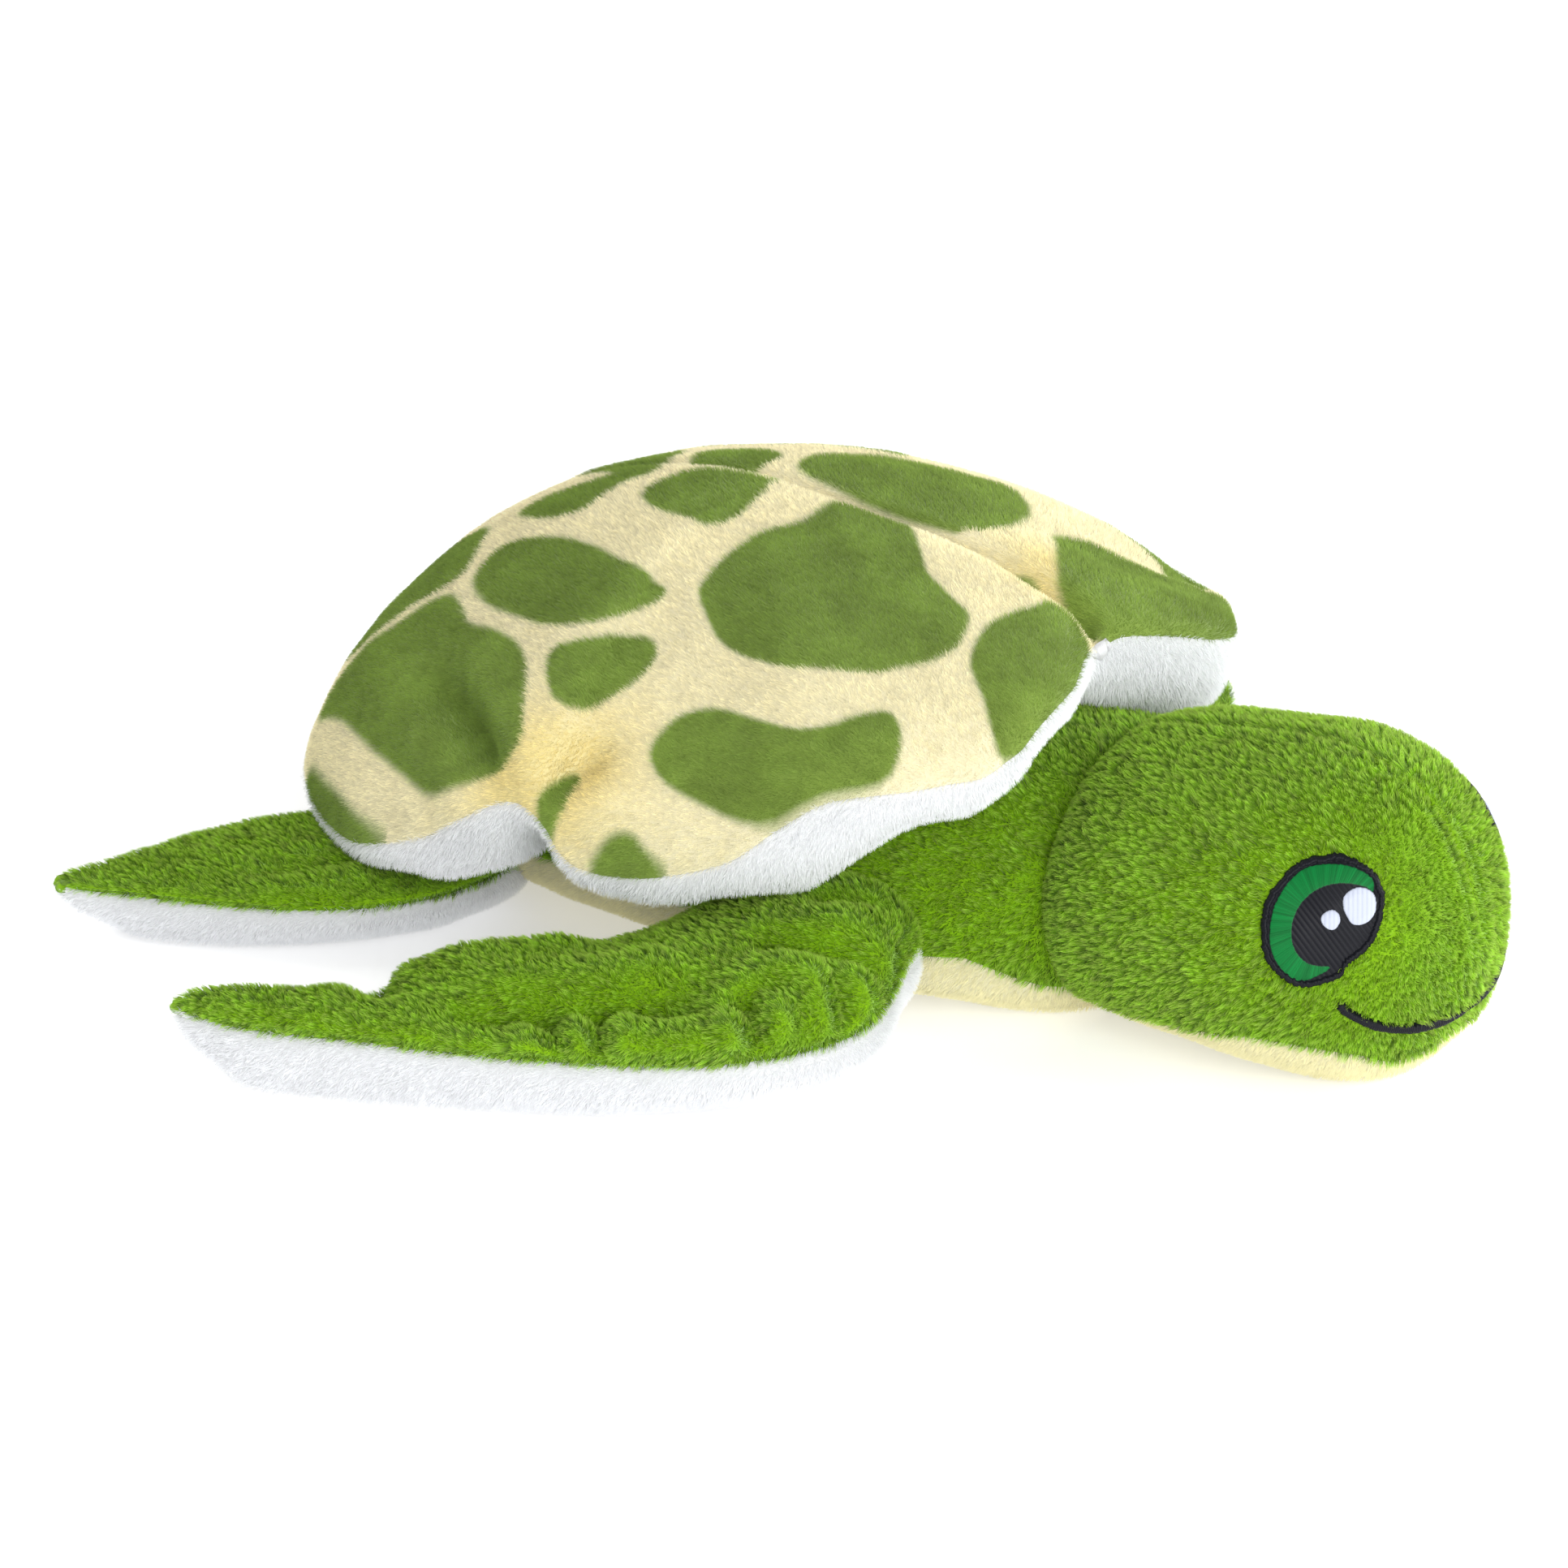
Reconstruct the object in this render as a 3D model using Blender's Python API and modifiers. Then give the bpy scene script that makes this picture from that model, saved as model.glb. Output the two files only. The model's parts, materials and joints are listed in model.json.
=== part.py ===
"""Plush sea turtle: a stuffed shell, body, head and four flippers, at rest on the ground.

The turtle faces -Y, its left side is +X and up is +Z. The origin lies on the ground under
the middle of the belly. Below, "forward" counts along -Y, "side" away from the middle plane
and "height" from the ground. Each stuffed form is a cage of rings with Subdivision Surface.
Its cloth panels are that form less the form inside it, parted along the seams.
"""

import math

import bmesh
import bpy
from mathutils import Matrix, Vector

# Cloth, seams and clearances, in metres
CLOTH = 0.0016
SEAM_GAP = 0.0003
FIT_GAP = 0.0003
ROOT_GAP = 0.0010
STUFFING_EASE = 0.0030
LIMB_FILL_EASE = 0.0031
FLAT_DEPTH = 0.0005
OVERRUN = 0.006
GROUND_DEPTH = 0.03
GROUND_SIDE = 0.4

# Body, from the tail to the neck
BODY_SEAM_END = 0.052
BODY_TAIL = 0.076
BODY_HALF_WIDTH = 0.047
BODY_SEAM_HEIGHT = 0.014
BODY_RISE = 0.033

# Neck dome, which the head turns on
NECK_FORWARD = 0.070
NECK_HEIGHT = 0.0245
NECK_RADIUS = 0.0250
NECK_SEAM_HEIGHT = 0.004
NECK_PAD = 0.003
NECK_PAD_SEAT = 0.0007
NECK_GAP = 0.0006
NECK_PAD_ANGLE = math.radians(38)
DOME_ANGLES = (0.0, math.radians(32), math.radians(62))

# Head
HEAD_BACK = 0.070
HEAD_NOSE = 0.1450
HEAD_HALF_WIDTH = 0.0355
HEAD_TOP = 0.0560
HEAD_MIDDLE = 0.0245
CHIN_SEAM_BACK = 0.0035
CHIN_SEAM_NOSE = 0.0075

# Embroidery on the head
EYE_FORWARD = 0.1290
EYE_SIDE = 0.0290
EYE_HEIGHT = 0.0345
EYE_HALF_WIDTH = 0.0098
EYE_HALF_HEIGHT = 0.0112
EYE_TURN = math.radians(52)
EYE_TILT = math.radians(12)
EYE_REACH = 0.016
EMBROIDERY = 0.0009
MOUTH_HALF_WIDTH = 0.0270
MOUTH_HEIGHT = 0.0125
MOUTH_SMILE = 0.0075
MOUTH_THICKNESS = 0.0019
MOUTH_START = 0.118

# Shell
SHELL_CENTRE = -0.004
SHELL_HALF_LENGTH = 0.082
SHELL_HALF_WIDTH = 0.073
SHELL_TOP = 0.0755
SHELL_RIM = 0.060
SHELL_UNDER = 0.0515
SHELL_PUFF = 0.0160
PUFF_FULL_SHARE = 0.5
SHELL_GROOVE = 0.0045
SHELL_SEAT = 0.0012
SHELL_FILL_EASE = 0.0040

# Front flippers
FRONT_HINGE_FORWARD = 0.040
FRONT_HINGE_SIDE = 0.0465
FRONT_HINGE_HEIGHT = 0.014
FRONT_HINGE_TURN = 0.0
FRONT_ROOT_RADIUS = 0.0088
FRONT_ROOT_HALF = 0.0200
FRONT_REACH = 0.0745
FRONT_SWEEP = 0.0785
FRONT_HALF_WIDTH = 0.0260
FRONT_RISE = 0.0150
FRONT_SEAM_HEIGHT = 0.0140

# Hind flippers
HIND_HINGE_FORWARD = -0.038
HIND_HINGE_SIDE = 0.0425
HIND_HINGE_HEIGHT = 0.0105
HIND_HINGE_TURN = math.radians(24)
HIND_ROOT_RADIUS = 0.0068
HIND_ROOT_HALF = 0.0155
HIND_REACH = 0.0525
HIND_SWEEP = 0.050
HIND_HALF_WIDTH = 0.0220
HIND_RISE = 0.0045
HIND_SEAM_HEIGHT = 0.0105

# Cage density
RING_POINTS = 12
LIMB_POINTS = 8
SMOOTH_LEVELS = 1
CORE_SHARE = 0.45
FILL_CORE_SHARE = 0.25
FILL_REACH_SHARE = 0.67
END_SHIFT_SHARE = 0.7
BODY_FULLNESS = 2.3
HEAD_FULLNESS = 3.0
ROUND_FULLNESS = 2.0
BALL_SEGMENTS = 24
BALL_RINGS = 14
GROOVE_SEGMENTS = 20
GROOVE_RINGS = 12
EYE_SEGMENTS = 28
PAD_STEPS = 6
PAD_TURN_STEPS = 20
MOUTH_STEPS = 12

# Rows of shares: forward between tail and front, half width, seam height, rise, depth below the seam
BODY_SHARES = (
    (-0.92, 0.38, 0.86, 0.24, 0.60),
    (-0.70, 0.72, 0.93, 0.42, 1.00),
    (-0.36, 0.91, 0.98, 0.74, 1.00),
    (0.08, 1.00, 1.00, 0.97, 1.00),
    (0.52, 0.98, 1.02, 1.02, 1.00),
    (0.74, 0.81, 0.75, 1.12, 1.00),
    (0.86, 0.58, 1.20, 1.00, 1.00),
)

# Rows of shares: along from back to nose, half width, rise over the middle, drop under it
HEAD_SHARES = (
    (0.05, 0.70, 0.80, 0.92),
    (0.22, 0.92, 0.87, 1.00),
    (0.42, 1.00, 0.94, 1.00),
    (0.62, 0.97, 1.00, 1.00),
    (0.80, 0.80, 0.94, 1.00),
    (0.94, 0.46, 0.60, 0.82),
)

# Rows of shares along the rim from the front notch to the tail: forward from the centre, side, height
RIM_SHARES = (
    (0.90, 0.00, 1.00),
    (1.00, 0.25, 0.95),
    (0.98, 0.49, 0.84),
    (0.78, 0.74, 0.79),
    (0.50, 0.93, 0.66),
    (0.24, 1.00, 0.50),
    (-0.01, 0.96, 0.59),
    (-0.24, 0.95, 0.46),
    (-0.47, 0.91, 0.34),
    (-0.68, 0.76, 0.30),
    (-0.86, 0.53, 0.29),
    (-0.96, 0.27, 0.30),
    (-0.99, 0.00, 0.31),
)
# Rows of shares: forward from the shell's centre, and how early its top falls off to the rim
SHELL_SLOPE_SHARES = ((-1.0, 0.68), (-0.5, 0.61), (0.2, 0.56), (1.0, 0.57))
TOP_RING_SHARES = (1.0, 0.90, 0.66, 0.35)
UNDER_RING_SHARES = (0.90, 0.66, 0.35)
SEAM_RING_SHARES = (1.1, 1.0, 0.85, 0.6, 0.3)

# Rows of shares: reach, sweep, turn of the section from the hinge line, half width, rise, seam height
FRONT_SHARES = (
    (0.150, -0.060, 0.07, 0.91, 0.95, 0.95),
    (0.315, -0.016, 0.09, 0.98, 0.87, 0.93),
    (0.493, 0.105, 0.11, 1.01, 0.80, 0.93),
    (0.630, 0.270, 0.14, 0.96, 0.73, 0.93),
    (0.733, 0.434, 0.22, 0.78, 0.60, 0.93),
    (0.830, 0.560, 0.36, 0.50, 0.50, 0.96),
    (0.911, 0.720, 0.58, 0.34, 0.42, 0.96),
    (0.980, 0.870, 0.70, 0.27, 0.34, 0.95),
)
HIND_SHARES = (
    (0.190, 0.140, 0.20, 0.93, 1.00, 1.00),
    (0.371, 0.280, 0.22, 1.00, 0.95, 0.97),
    (0.543, 0.460, 0.27, 0.90, 0.88, 0.96),
    (0.671, 0.600, 0.33, 0.66, 0.78, 0.98),
    (0.820, 0.780, 0.42, 0.43, 0.62, 0.98),
)
KNUCKLE_ANGLES = (math.radians(50), 0.0)

GREEN = (0.22, 0.40, 0.04, 1.0)
PRINT = (0.30, 0.42, 0.12, 1.0)
WHITE = (0.86, 0.88, 0.88, 1.0)
CREAM = (0.85, 0.72, 0.45, 1.0)
FIBRE = (0.90, 0.90, 0.88, 1.0)
THREAD = (0.02, 0.02, 0.03, 1.0)


def clear_scene():
    for obj in list(bpy.data.objects):
        bpy.data.objects.remove(obj)


def new_collection(name, shown):
    collection = bpy.data.collections.new(name)
    collection.hide_render = not shown
    bpy.context.scene.collection.children.link(collection)
    return collection


def new_material(name, colour, roughness):
    material = bpy.data.materials.new(name)
    material.use_nodes = True
    shader = material.node_tree.nodes["Principled BSDF"]
    shader.inputs["Base Color"].default_value = colour
    shader.inputs["Roughness"].default_value = roughness
    shader.inputs["Metallic"].default_value = 0.0
    return material


def place(forward, side, height, hand=1):
    """A point of the turtle. A hand of 1 is its left side and -1 its right side."""
    return Vector((hand * side, -forward, height))


def swell(points):
    """Subdivision draws a ring of this many points in by this factor, so its cage is that much larger."""
    return 3 / (2 + math.cos(math.tau / points))


def mesh_object(name, build, collection, split=False):
    """An object whose mesh build(bm) fills, with all faces pointing out, and split into triangles if asked."""
    bm = bmesh.new()
    build(bm)
    if split:
        bmesh.ops.triangulate(bm, faces=bm.faces)
    bmesh.ops.recalc_face_normals(bm, faces=bm.faces)
    mesh = bpy.data.meshes.new(name)
    bm.to_mesh(mesh)
    bm.free()
    obj = bpy.data.objects.new(name, mesh)
    collection.objects.link(obj)
    return obj


def smooth(obj, levels):
    if levels:
        modifier = obj.modifiers.new("Soft form", "SUBSURF")
        modifier.levels = levels
        modifier.render_levels = levels
    obj.data.shade_smooth()


def as_guide(obj):
    obj.hide_render = True
    obj.display_type = "WIRE"
    return obj


def bridge(bm, first, second):
    """Faces between two rings of as many points."""
    for i in range(len(first)):
        j = (i + 1) % len(first)
        bm.faces.new((first[i], first[j], second[j], second[i]))


def cap(bm, ring, pole):
    tip = bm.verts.new(pole)
    for i in range(len(ring)):
        bm.faces.new((ring[i], ring[(i + 1) % len(ring)], tip))


class Section:
    """One ring of a stuffed form: its middle, its direction across and its half sizes."""

    def __init__(self, middle, across, half_width, rise, drop, fullness=BODY_FULLNESS):
        self.fullness = fullness
        self.middle = middle
        self.across = across
        self.half_width = half_width
        self.rise = rise
        self.drop = drop

    def ring(self, points, inset, levels):
        grow = swell(points) if levels else 1
        sizes = [drawn_in(size, inset) * grow for size in (self.half_width, self.rise, self.drop)]
        ring = []
        for i in range(points):
            angle = math.tau * i / points
            wide, tall = math.cos(angle), math.sin(angle)
            if tall < 0:
                power = self.fullness if levels else ROUND_FULLNESS
                full = (abs(wide) ** power + abs(tall) ** power) ** (-1 / power)
                wide, tall = wide * full, tall * full
            up = Vector((0, 0, tall * (sizes[1] if tall > 0 else sizes[2])))
            ring.append(self.middle + self.across * sizes[0] * wide + up)
        return ring


def drawn_in(size, inset):
    """A size less the inset, of which a thin end keeps a share."""
    return max(size - inset, size * (CORE_SHARE if inset <= CLOTH else FILL_CORE_SHARE))


def density(points, inset):
    """The points of a ring and the levels of smoothing: the fibre fill, which never shows, is plain."""
    return points, SMOOTH_LEVELS if inset <= CLOTH else 0


def stuffed_form(name, sections, ends, points, levels, inset, collection):
    """A closed form through the sections, with a pole at each end."""

    def build(bm):
        rings = [[bm.verts.new(point) for point in section.ring(points, inset, levels)] for section in sections]
        for first, second in zip(rings, rings[1:]):
            bridge(bm, first, second)
        for ring, end, last, inner in (
            (rings[0], ends[0], sections[0].middle, sections[1].middle),
            (rings[-1], ends[1], sections[-1].middle, sections[-2].middle),
        ):
            back = (inner - last).normalized() * inset * END_SHIFT_SHARE
            for vertex in ring:
                vertex.co += back
            span = end - last
            reach = drawn_in(span.length, inset) * (1 if levels else FILL_REACH_SHARE)
            cap(bm, ring, last + back + span.normalized() * reach)

    obj = mesh_object(name, build, collection)
    smooth(obj, levels)
    return obj


def block_between(name, first_line, second_line, sweep, collection):
    """A block whose one side is the strip between two lines and whose other side is that strip moved by sweep."""

    def build(bm):
        rows = []
        for line in (first_line, second_line):
            rows.append([bm.verts.new(point) for point in line])
            rows.append([bm.verts.new(point + sweep) for point in line])
        loop = (rows[0], rows[2], rows[3], rows[1])
        for i in range(len(first_line) - 1):
            for a, b in zip(loop, loop[1:] + loop[:1]):
                bm.faces.new((a[i], a[i + 1], b[i + 1], b[i]))
        bm.faces.new([row[0] for row in loop])
        bm.faces.new([row[-1] for row in loop])

    return as_guide(mesh_object(name, build, collection, split=True))


def boolean(obj, operation, cutters):
    for cutter in cutters:
        modifier = obj.modifiers.new(f"{operation.title()} {cutter.name}", "BOOLEAN")
        modifier.operation = operation
        modifier.solver = "EXACT"
        modifier.object = cutter


def piece(obj, name, material, collection):
    """Makes a form a piece of the turtle."""
    obj.name = name
    obj.data.name = name
    obj.data.materials.append(material)
    return obj


def ball(name, radius, centre, collection):
    """A sphere as a guide."""

    def build(bm):
        bmesh.ops.create_uvsphere(bm, u_segments=BALL_SEGMENTS, v_segments=BALL_RINGS, radius=radius)
        bmesh.ops.rotate(bm, matrix=Matrix.Rotation(math.pi / 2, 3, "X"), verts=bm.verts)

    obj = mesh_object(name, build, collection)
    obj.location = centre
    return as_guide(obj)


def ground_block(collection):
    def build(bm):
        bmesh.ops.create_cube(bm, size=1)
        bmesh.ops.scale(bm, vec=(GROUND_SIDE, GROUND_SIDE, GROUND_DEPTH), verts=bm.verts)

    obj = mesh_object("ground", build, collection)
    obj.location = (0, 0, -GROUND_DEPTH / 2)
    return as_guide(obj)


def interpolate(rows, forward, column):
    """The value of a column of rows, which are in order of forward."""
    if forward <= rows[0][0]:
        return rows[0][column]
    for low, high in zip(rows, rows[1:]):
        if forward <= high[0]:
            share = (forward - low[0]) / (high[0] - low[0])
            return low[column] + share * (high[column] - low[column])
    return rows[-1][column]


def body_rows():
    """Forward, half width, seam height, rise and drop of each ring of the body and the neck dome."""
    rows = []
    for along, width, seam, rise, drop in BODY_SHARES:
        height = BODY_SEAM_HEIGHT * seam
        forward = along * BODY_TAIL
        rows.append(
            (forward, BODY_HALF_WIDTH * width, height, BODY_RISE * rise, (height + FLAT_DEPTH) * drop)
        )
    for angle in DOME_ANGLES:
        radius = NECK_RADIUS * math.cos(angle)
        forward = NECK_FORWARD + NECK_RADIUS * math.sin(angle)
        rows.append((forward, radius, NECK_HEIGHT, radius, radius))
    return rows


def back_height(rows, forward, side):
    """How high the body's back is at a point of the plan, or nothing beside it."""
    width = interpolate(rows, forward, 1)
    if side >= width or not rows[0][0] <= forward <= rows[-1][0]:
        return 0.0
    return interpolate(rows, forward, 2) + interpolate(rows, forward, 3) * math.sqrt(1 - (side / width) ** 2)


def shell_spokes():
    """The rim's points all the way round: forward, side and height."""
    right = [
        (SHELL_CENTRE + SHELL_HALF_LENGTH * along, SHELL_HALF_WIDTH * side, SHELL_RIM * height)
        for along, side, height in RIM_SHARES
    ]
    left = [(forward, -side, height) for forward, side, height in right[-2:0:-1]]
    return right + left


def shell_top(spoke, share):
    """The height of the shell's cloth over a spoke, at a share of the way to the rim."""
    forward, side, rim = spoke
    slope = interpolate(SHELL_SLOPE_SHARES, (forward - SHELL_CENTRE) / SHELL_HALF_LENGTH, 1)
    dome = rim + (SHELL_TOP - rim) * max(0.0, 1 - share**2) ** slope
    groove = SHELL_GROOVE * math.sin(math.pi * share) if side == 0 and forward > 0 else 0.0
    return dome - groove


def shell_under(spoke, share, rows):
    """The height of the white cloth under a spoke: hung from the rim, puffed out, or laid on the back."""
    forward, side, rim = spoke
    puff = SHELL_PUFF * min(1.0, rim / SHELL_RIM / PUFF_FULL_SHARE)
    bulge = puff * share**2 * math.sqrt(max(0.0, 1 - share**6))
    hung = rim * share**2 + SHELL_UNDER * (1 - share**2) - bulge
    at_forward = SHELL_CENTRE + (forward - SHELL_CENTRE) * share
    seat = back_height(rows, at_forward, abs(side) * share) + SHELL_SEAT
    return max(hung, seat)


def shell_form(name, inset, rows, collection):
    spokes = shell_spokes()
    count, levels = density(len(spokes), inset)
    grow = swell(count) if levels else 1

    def point(spoke, share, on_top):
        forward, side, rim = spoke
        reach = math.hypot(forward - SHELL_CENTRE, side)
        kept = share * (reach - inset) / reach
        height = rim
        if share < 1:
            height = shell_top(spoke, kept) - inset if on_top else shell_under(spoke, kept, rows) + inset
        return Vector((side * kept * grow, -(SHELL_CENTRE + (forward - SHELL_CENTRE) * kept * grow), height))

    def build(bm):
        rings = []
        for share in TOP_RING_SHARES:
            if share < 1 or levels:
                rings.insert(0, [bm.verts.new(point(spoke, share, True)) for spoke in spokes])
        for share in UNDER_RING_SHARES:
            rings.append([bm.verts.new(point(spoke, share, False)) for spoke in spokes])
        for first, second in zip(rings, rings[1:]):
            bridge(bm, first, second)
        cap(bm, rings[0], place(SHELL_CENTRE, 0, shell_top(spokes[-1], 0) - inset))
        cap(bm, rings[-1], place(SHELL_CENTRE, 0, shell_under(spokes[-1], 0, rows) + inset))

    obj = mesh_object(name, build, collection)
    smooth(obj, levels)
    return obj


def shell_seam(name, lowered, rows, collection):
    """The space under the surface that runs through the shell's rim seam."""
    spokes = shell_spokes()

    def build(bm):
        rings = []
        for share in SEAM_RING_SHARES:
            ring = []
            for forward, side, rim in spokes:
                inner = min(share, 1.0)
                height = rim
                if inner < 1:
                    spoke = (forward, side, rim)
                    height = (shell_top(spoke, inner) + shell_under(spoke, inner, rows)) / 2
                across = SHELL_CENTRE + (forward - SHELL_CENTRE) * share
                ring.append(bm.verts.new((side * share, -across, height - lowered)))
            rings.append(ring)
        for first, second in zip(rings, rings[1:]):
            bridge(bm, first, second)
        middle = (SHELL_TOP + SHELL_UNDER) / 2 - lowered
        cap(bm, rings[-1], place(SHELL_CENTRE, 0, middle))
        floor = [bm.verts.new((v.co.x, v.co.y, -GROUND_DEPTH)) for v in rings[0]]
        bridge(bm, floor, rings[0])
        bm.faces.new(floor)

    return as_guide(mesh_object(name, build, collection, split=True))


def make_shell(rows, guides, parts, materials):
    cavity = as_guide(shell_form("shell_cavity", CLOTH, rows, guides))
    above = shell_seam("shell_seam", 0.0, rows, guides)
    below = shell_seam("shell_seam_below", SEAM_GAP, rows, guides)
    top = shell_form("shell_top", 0.0, rows, parts)
    piece(top, "shell_top", materials["print"], parts)
    boolean(top, "DIFFERENCE", (cavity, above))
    under = shell_form("shell_underside", 0.0, rows, parts)
    piece(under, "shell_underside", materials["white"], parts)
    boolean(under, "DIFFERENCE", (cavity,))
    boolean(under, "INTERSECT", (below,))
    fill = shell_form("shell_stuffing", CLOTH + SHELL_FILL_EASE, rows, parts)
    piece(fill, "shell_stuffing", materials["fibre"], parts)


def body_sections(rows):
    sections = []
    for forward, width, height, rise, drop in rows:
        fullness = ROUND_FULLNESS if forward >= NECK_FORWARD else BODY_FULLNESS
        sections.append(Section(place(forward, 0, height), Vector((1, 0, 0)), width, rise, drop, fullness))
    return sections


def body_ends():
    tail = place(-BODY_TAIL, 0, BODY_SEAM_HEIGHT)
    front = place(NECK_FORWARD + NECK_RADIUS, 0, NECK_HEIGHT)
    return tail, front


def body_form(name, rows, inset, collection):
    sections = body_sections(rows)
    return stuffed_form(name, sections, body_ends(), *density(RING_POINTS, inset), inset, collection)


def body_seam(name, rows, lowered, collection):
    """The space under the seam between the green back and the cream belly."""
    line = [(-BODY_TAIL - OVERRUN, BODY_SEAM_HEIGHT)]
    line += [(row[0], row[2]) for row in rows if row[0] < BODY_SEAM_END]
    line += [(NECK_FORWARD, NECK_SEAM_HEIGHT), (NECK_FORWARD + NECK_RADIUS + OVERRUN, NECK_SEAM_HEIGHT)]
    half = BODY_HALF_WIDTH + OVERRUN
    left = [place(forward, half, height - lowered) for forward, height in line]
    right = [place(forward, -half, height - lowered) for forward, height in line]
    return block_between(name, left, right, Vector((0, 0, -GROUND_DEPTH)), collection)


def make_body(rows, grooves, ground, guides, parts, materials):
    cavity = as_guide(body_form("body_cavity", rows, CLOTH, guides))
    above = body_seam("body_seam", rows, 0.0, guides)
    below = body_seam("body_seam_below", rows, SEAM_GAP, guides)
    back = piece(body_form("body_back", rows, 0.0, parts), "body_back", materials["green"], parts)
    boolean(back, "DIFFERENCE", (cavity, *grooves, above))
    belly = piece(body_form("belly", rows, 0.0, parts), "belly", materials["cream"], parts)
    boolean(belly, "DIFFERENCE", (cavity, *grooves))
    boolean(belly, "INTERSECT", (below,))
    boolean(belly, "DIFFERENCE", (ground,))
    fill = body_form("body_stuffing", rows, CLOTH + STUFFING_EASE, parts)
    piece(fill, "body_stuffing", materials["fibre"], parts)
    boolean(fill, "DIFFERENCE", grooves)


class Limb:
    """A flipper: its hinge on the body's side seam and its sections out to the tip."""

    def __init__(self, name, hand, hinge, turn, root, blade, shares, seam_height):
        self.name = name
        self.hand = hand
        self.hinge = place(*hinge, hand)
        self.turn = turn
        self.root_radius, self.root_half = root
        self.reach, self.sweep, self.half_width, self.rise = blade
        self.shares = shares
        self.seam_height = seam_height

    def direction(self, turn):
        """The way across a section that has turned this far from the middle plane."""
        return place(math.cos(turn), math.sin(turn), 0, self.hand)

    def outward(self):
        return place(-math.sin(self.turn), math.cos(self.turn), 0, self.hand)

    def sections(self):
        across = self.direction(self.turn)
        found = []
        for angle in KNUCKLE_ANGLES:
            middle = self.hinge - self.outward() * self.root_radius * math.sin(angle)
            half = self.root_half * math.cos(angle)
            thick = self.root_radius * math.cos(angle) / swell(LIMB_POINTS)
            found.append(Section(middle, across, half, thick, thick))
        for reach, sweep, turn, width, rise, seam in self.shares:
            height = self.seam_height * seam
            middle = self.hinge + place(-self.sweep * sweep, self.reach * reach, 0, self.hand)
            middle.z = height
            across = self.direction(math.pi / 2 * turn)
            found.append(Section(middle, across, self.half_width * width, self.rise * rise, height + FLAT_DEPTH))
        return found

    def ends(self):
        root = self.hinge - self.outward() * self.root_radius
        tip = self.hinge + place(-self.sweep, self.reach, 0, self.hand)
        tip.z = self.seam_height
        return root, tip

    def form(self, name, inset, collection):
        return stuffed_form(name, self.sections(), self.ends(), *density(LIMB_POINTS, inset), inset, collection)

    def seam(self, name, lowered, collection):
        sections = self.sections()
        root, tip = self.ends()
        middles = [section.middle for section in sections]
        middles = [root - self.outward() * OVERRUN] + middles
        middles.append(tip + (tip - middles[-1]).normalized() * OVERRUN)
        ends = [sections[0]] + sections + [sections[-1]]
        halves = [s.across * (s.half_width + OVERRUN) for s in ends]
        down = Vector((0, 0, -lowered))
        first = [m + half + down for m, half in zip(middles, halves)]
        second = [m - half + down for m, half in zip(middles, halves)]
        return block_between(name, first, second, Vector((0, 0, -GROUND_DEPTH)), collection)

    def groove(self, collection):
        """The rounded hollow in the body's side that the root turns in."""
        radius = self.root_radius + FIT_GAP
        stretch = (self.root_half + ROOT_GAP) / radius

        def build(bm):
            bmesh.ops.create_uvsphere(bm, u_segments=GROOVE_SEGMENTS, v_segments=GROOVE_RINGS, radius=radius)
            bmesh.ops.scale(bm, vec=(1, 1, stretch), verts=bm.verts)

        obj = mesh_object(f"{self.name}_groove", build, collection)
        along = self.direction(self.turn)
        obj.matrix_world = Matrix.Translation(self.hinge) @ along.to_track_quat("Z", "Y").to_matrix().to_4x4()
        return as_guide(obj)

    def make(self, ground, guides, parts, materials):
        cavity = as_guide(self.form(f"{self.name}_cavity", CLOTH, guides))
        above = self.seam(f"{self.name}_seam", 0.0, guides)
        below = self.seam(f"{self.name}_seam_below", SEAM_GAP, guides)
        top = self.form(f"{self.name}_top", 0.0, parts)
        piece(top, f"{self.name}_top", materials["green"], parts)
        boolean(top, "DIFFERENCE", (cavity, above))
        under = self.form(f"{self.name}_underside", 0.0, parts)
        piece(under, f"{self.name}_underside", materials["white"], parts)
        boolean(under, "DIFFERENCE", (cavity,))
        boolean(under, "INTERSECT", (below,))
        boolean(under, "DIFFERENCE", (ground,))
        fill = self.form(f"{self.name}_stuffing", CLOTH + LIMB_FILL_EASE, parts)
        piece(fill, f"{self.name}_stuffing", materials["fibre"], parts)


def all_limbs():
    limbs = []
    for hand, side in ((1, "left"), (-1, "right")):
        limbs.append(
            Limb(
                f"front_flipper_{side}",
                hand,
                (FRONT_HINGE_FORWARD, FRONT_HINGE_SIDE, FRONT_HINGE_HEIGHT),
                FRONT_HINGE_TURN,
                (FRONT_ROOT_RADIUS, FRONT_ROOT_HALF),
                (FRONT_REACH, FRONT_SWEEP, FRONT_HALF_WIDTH, FRONT_RISE),
                FRONT_SHARES,
                FRONT_SEAM_HEIGHT,
            )
        )
        limbs.append(
            Limb(
                f"hind_flipper_{side}",
                hand,
                (HIND_HINGE_FORWARD, HIND_HINGE_SIDE, HIND_HINGE_HEIGHT),
                HIND_HINGE_TURN,
                (HIND_ROOT_RADIUS, HIND_ROOT_HALF),
                (HIND_REACH, HIND_SWEEP, HIND_HALF_WIDTH, HIND_RISE),
                HIND_SHARES,
                HIND_SEAM_HEIGHT,
            )
        )
    return limbs


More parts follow.
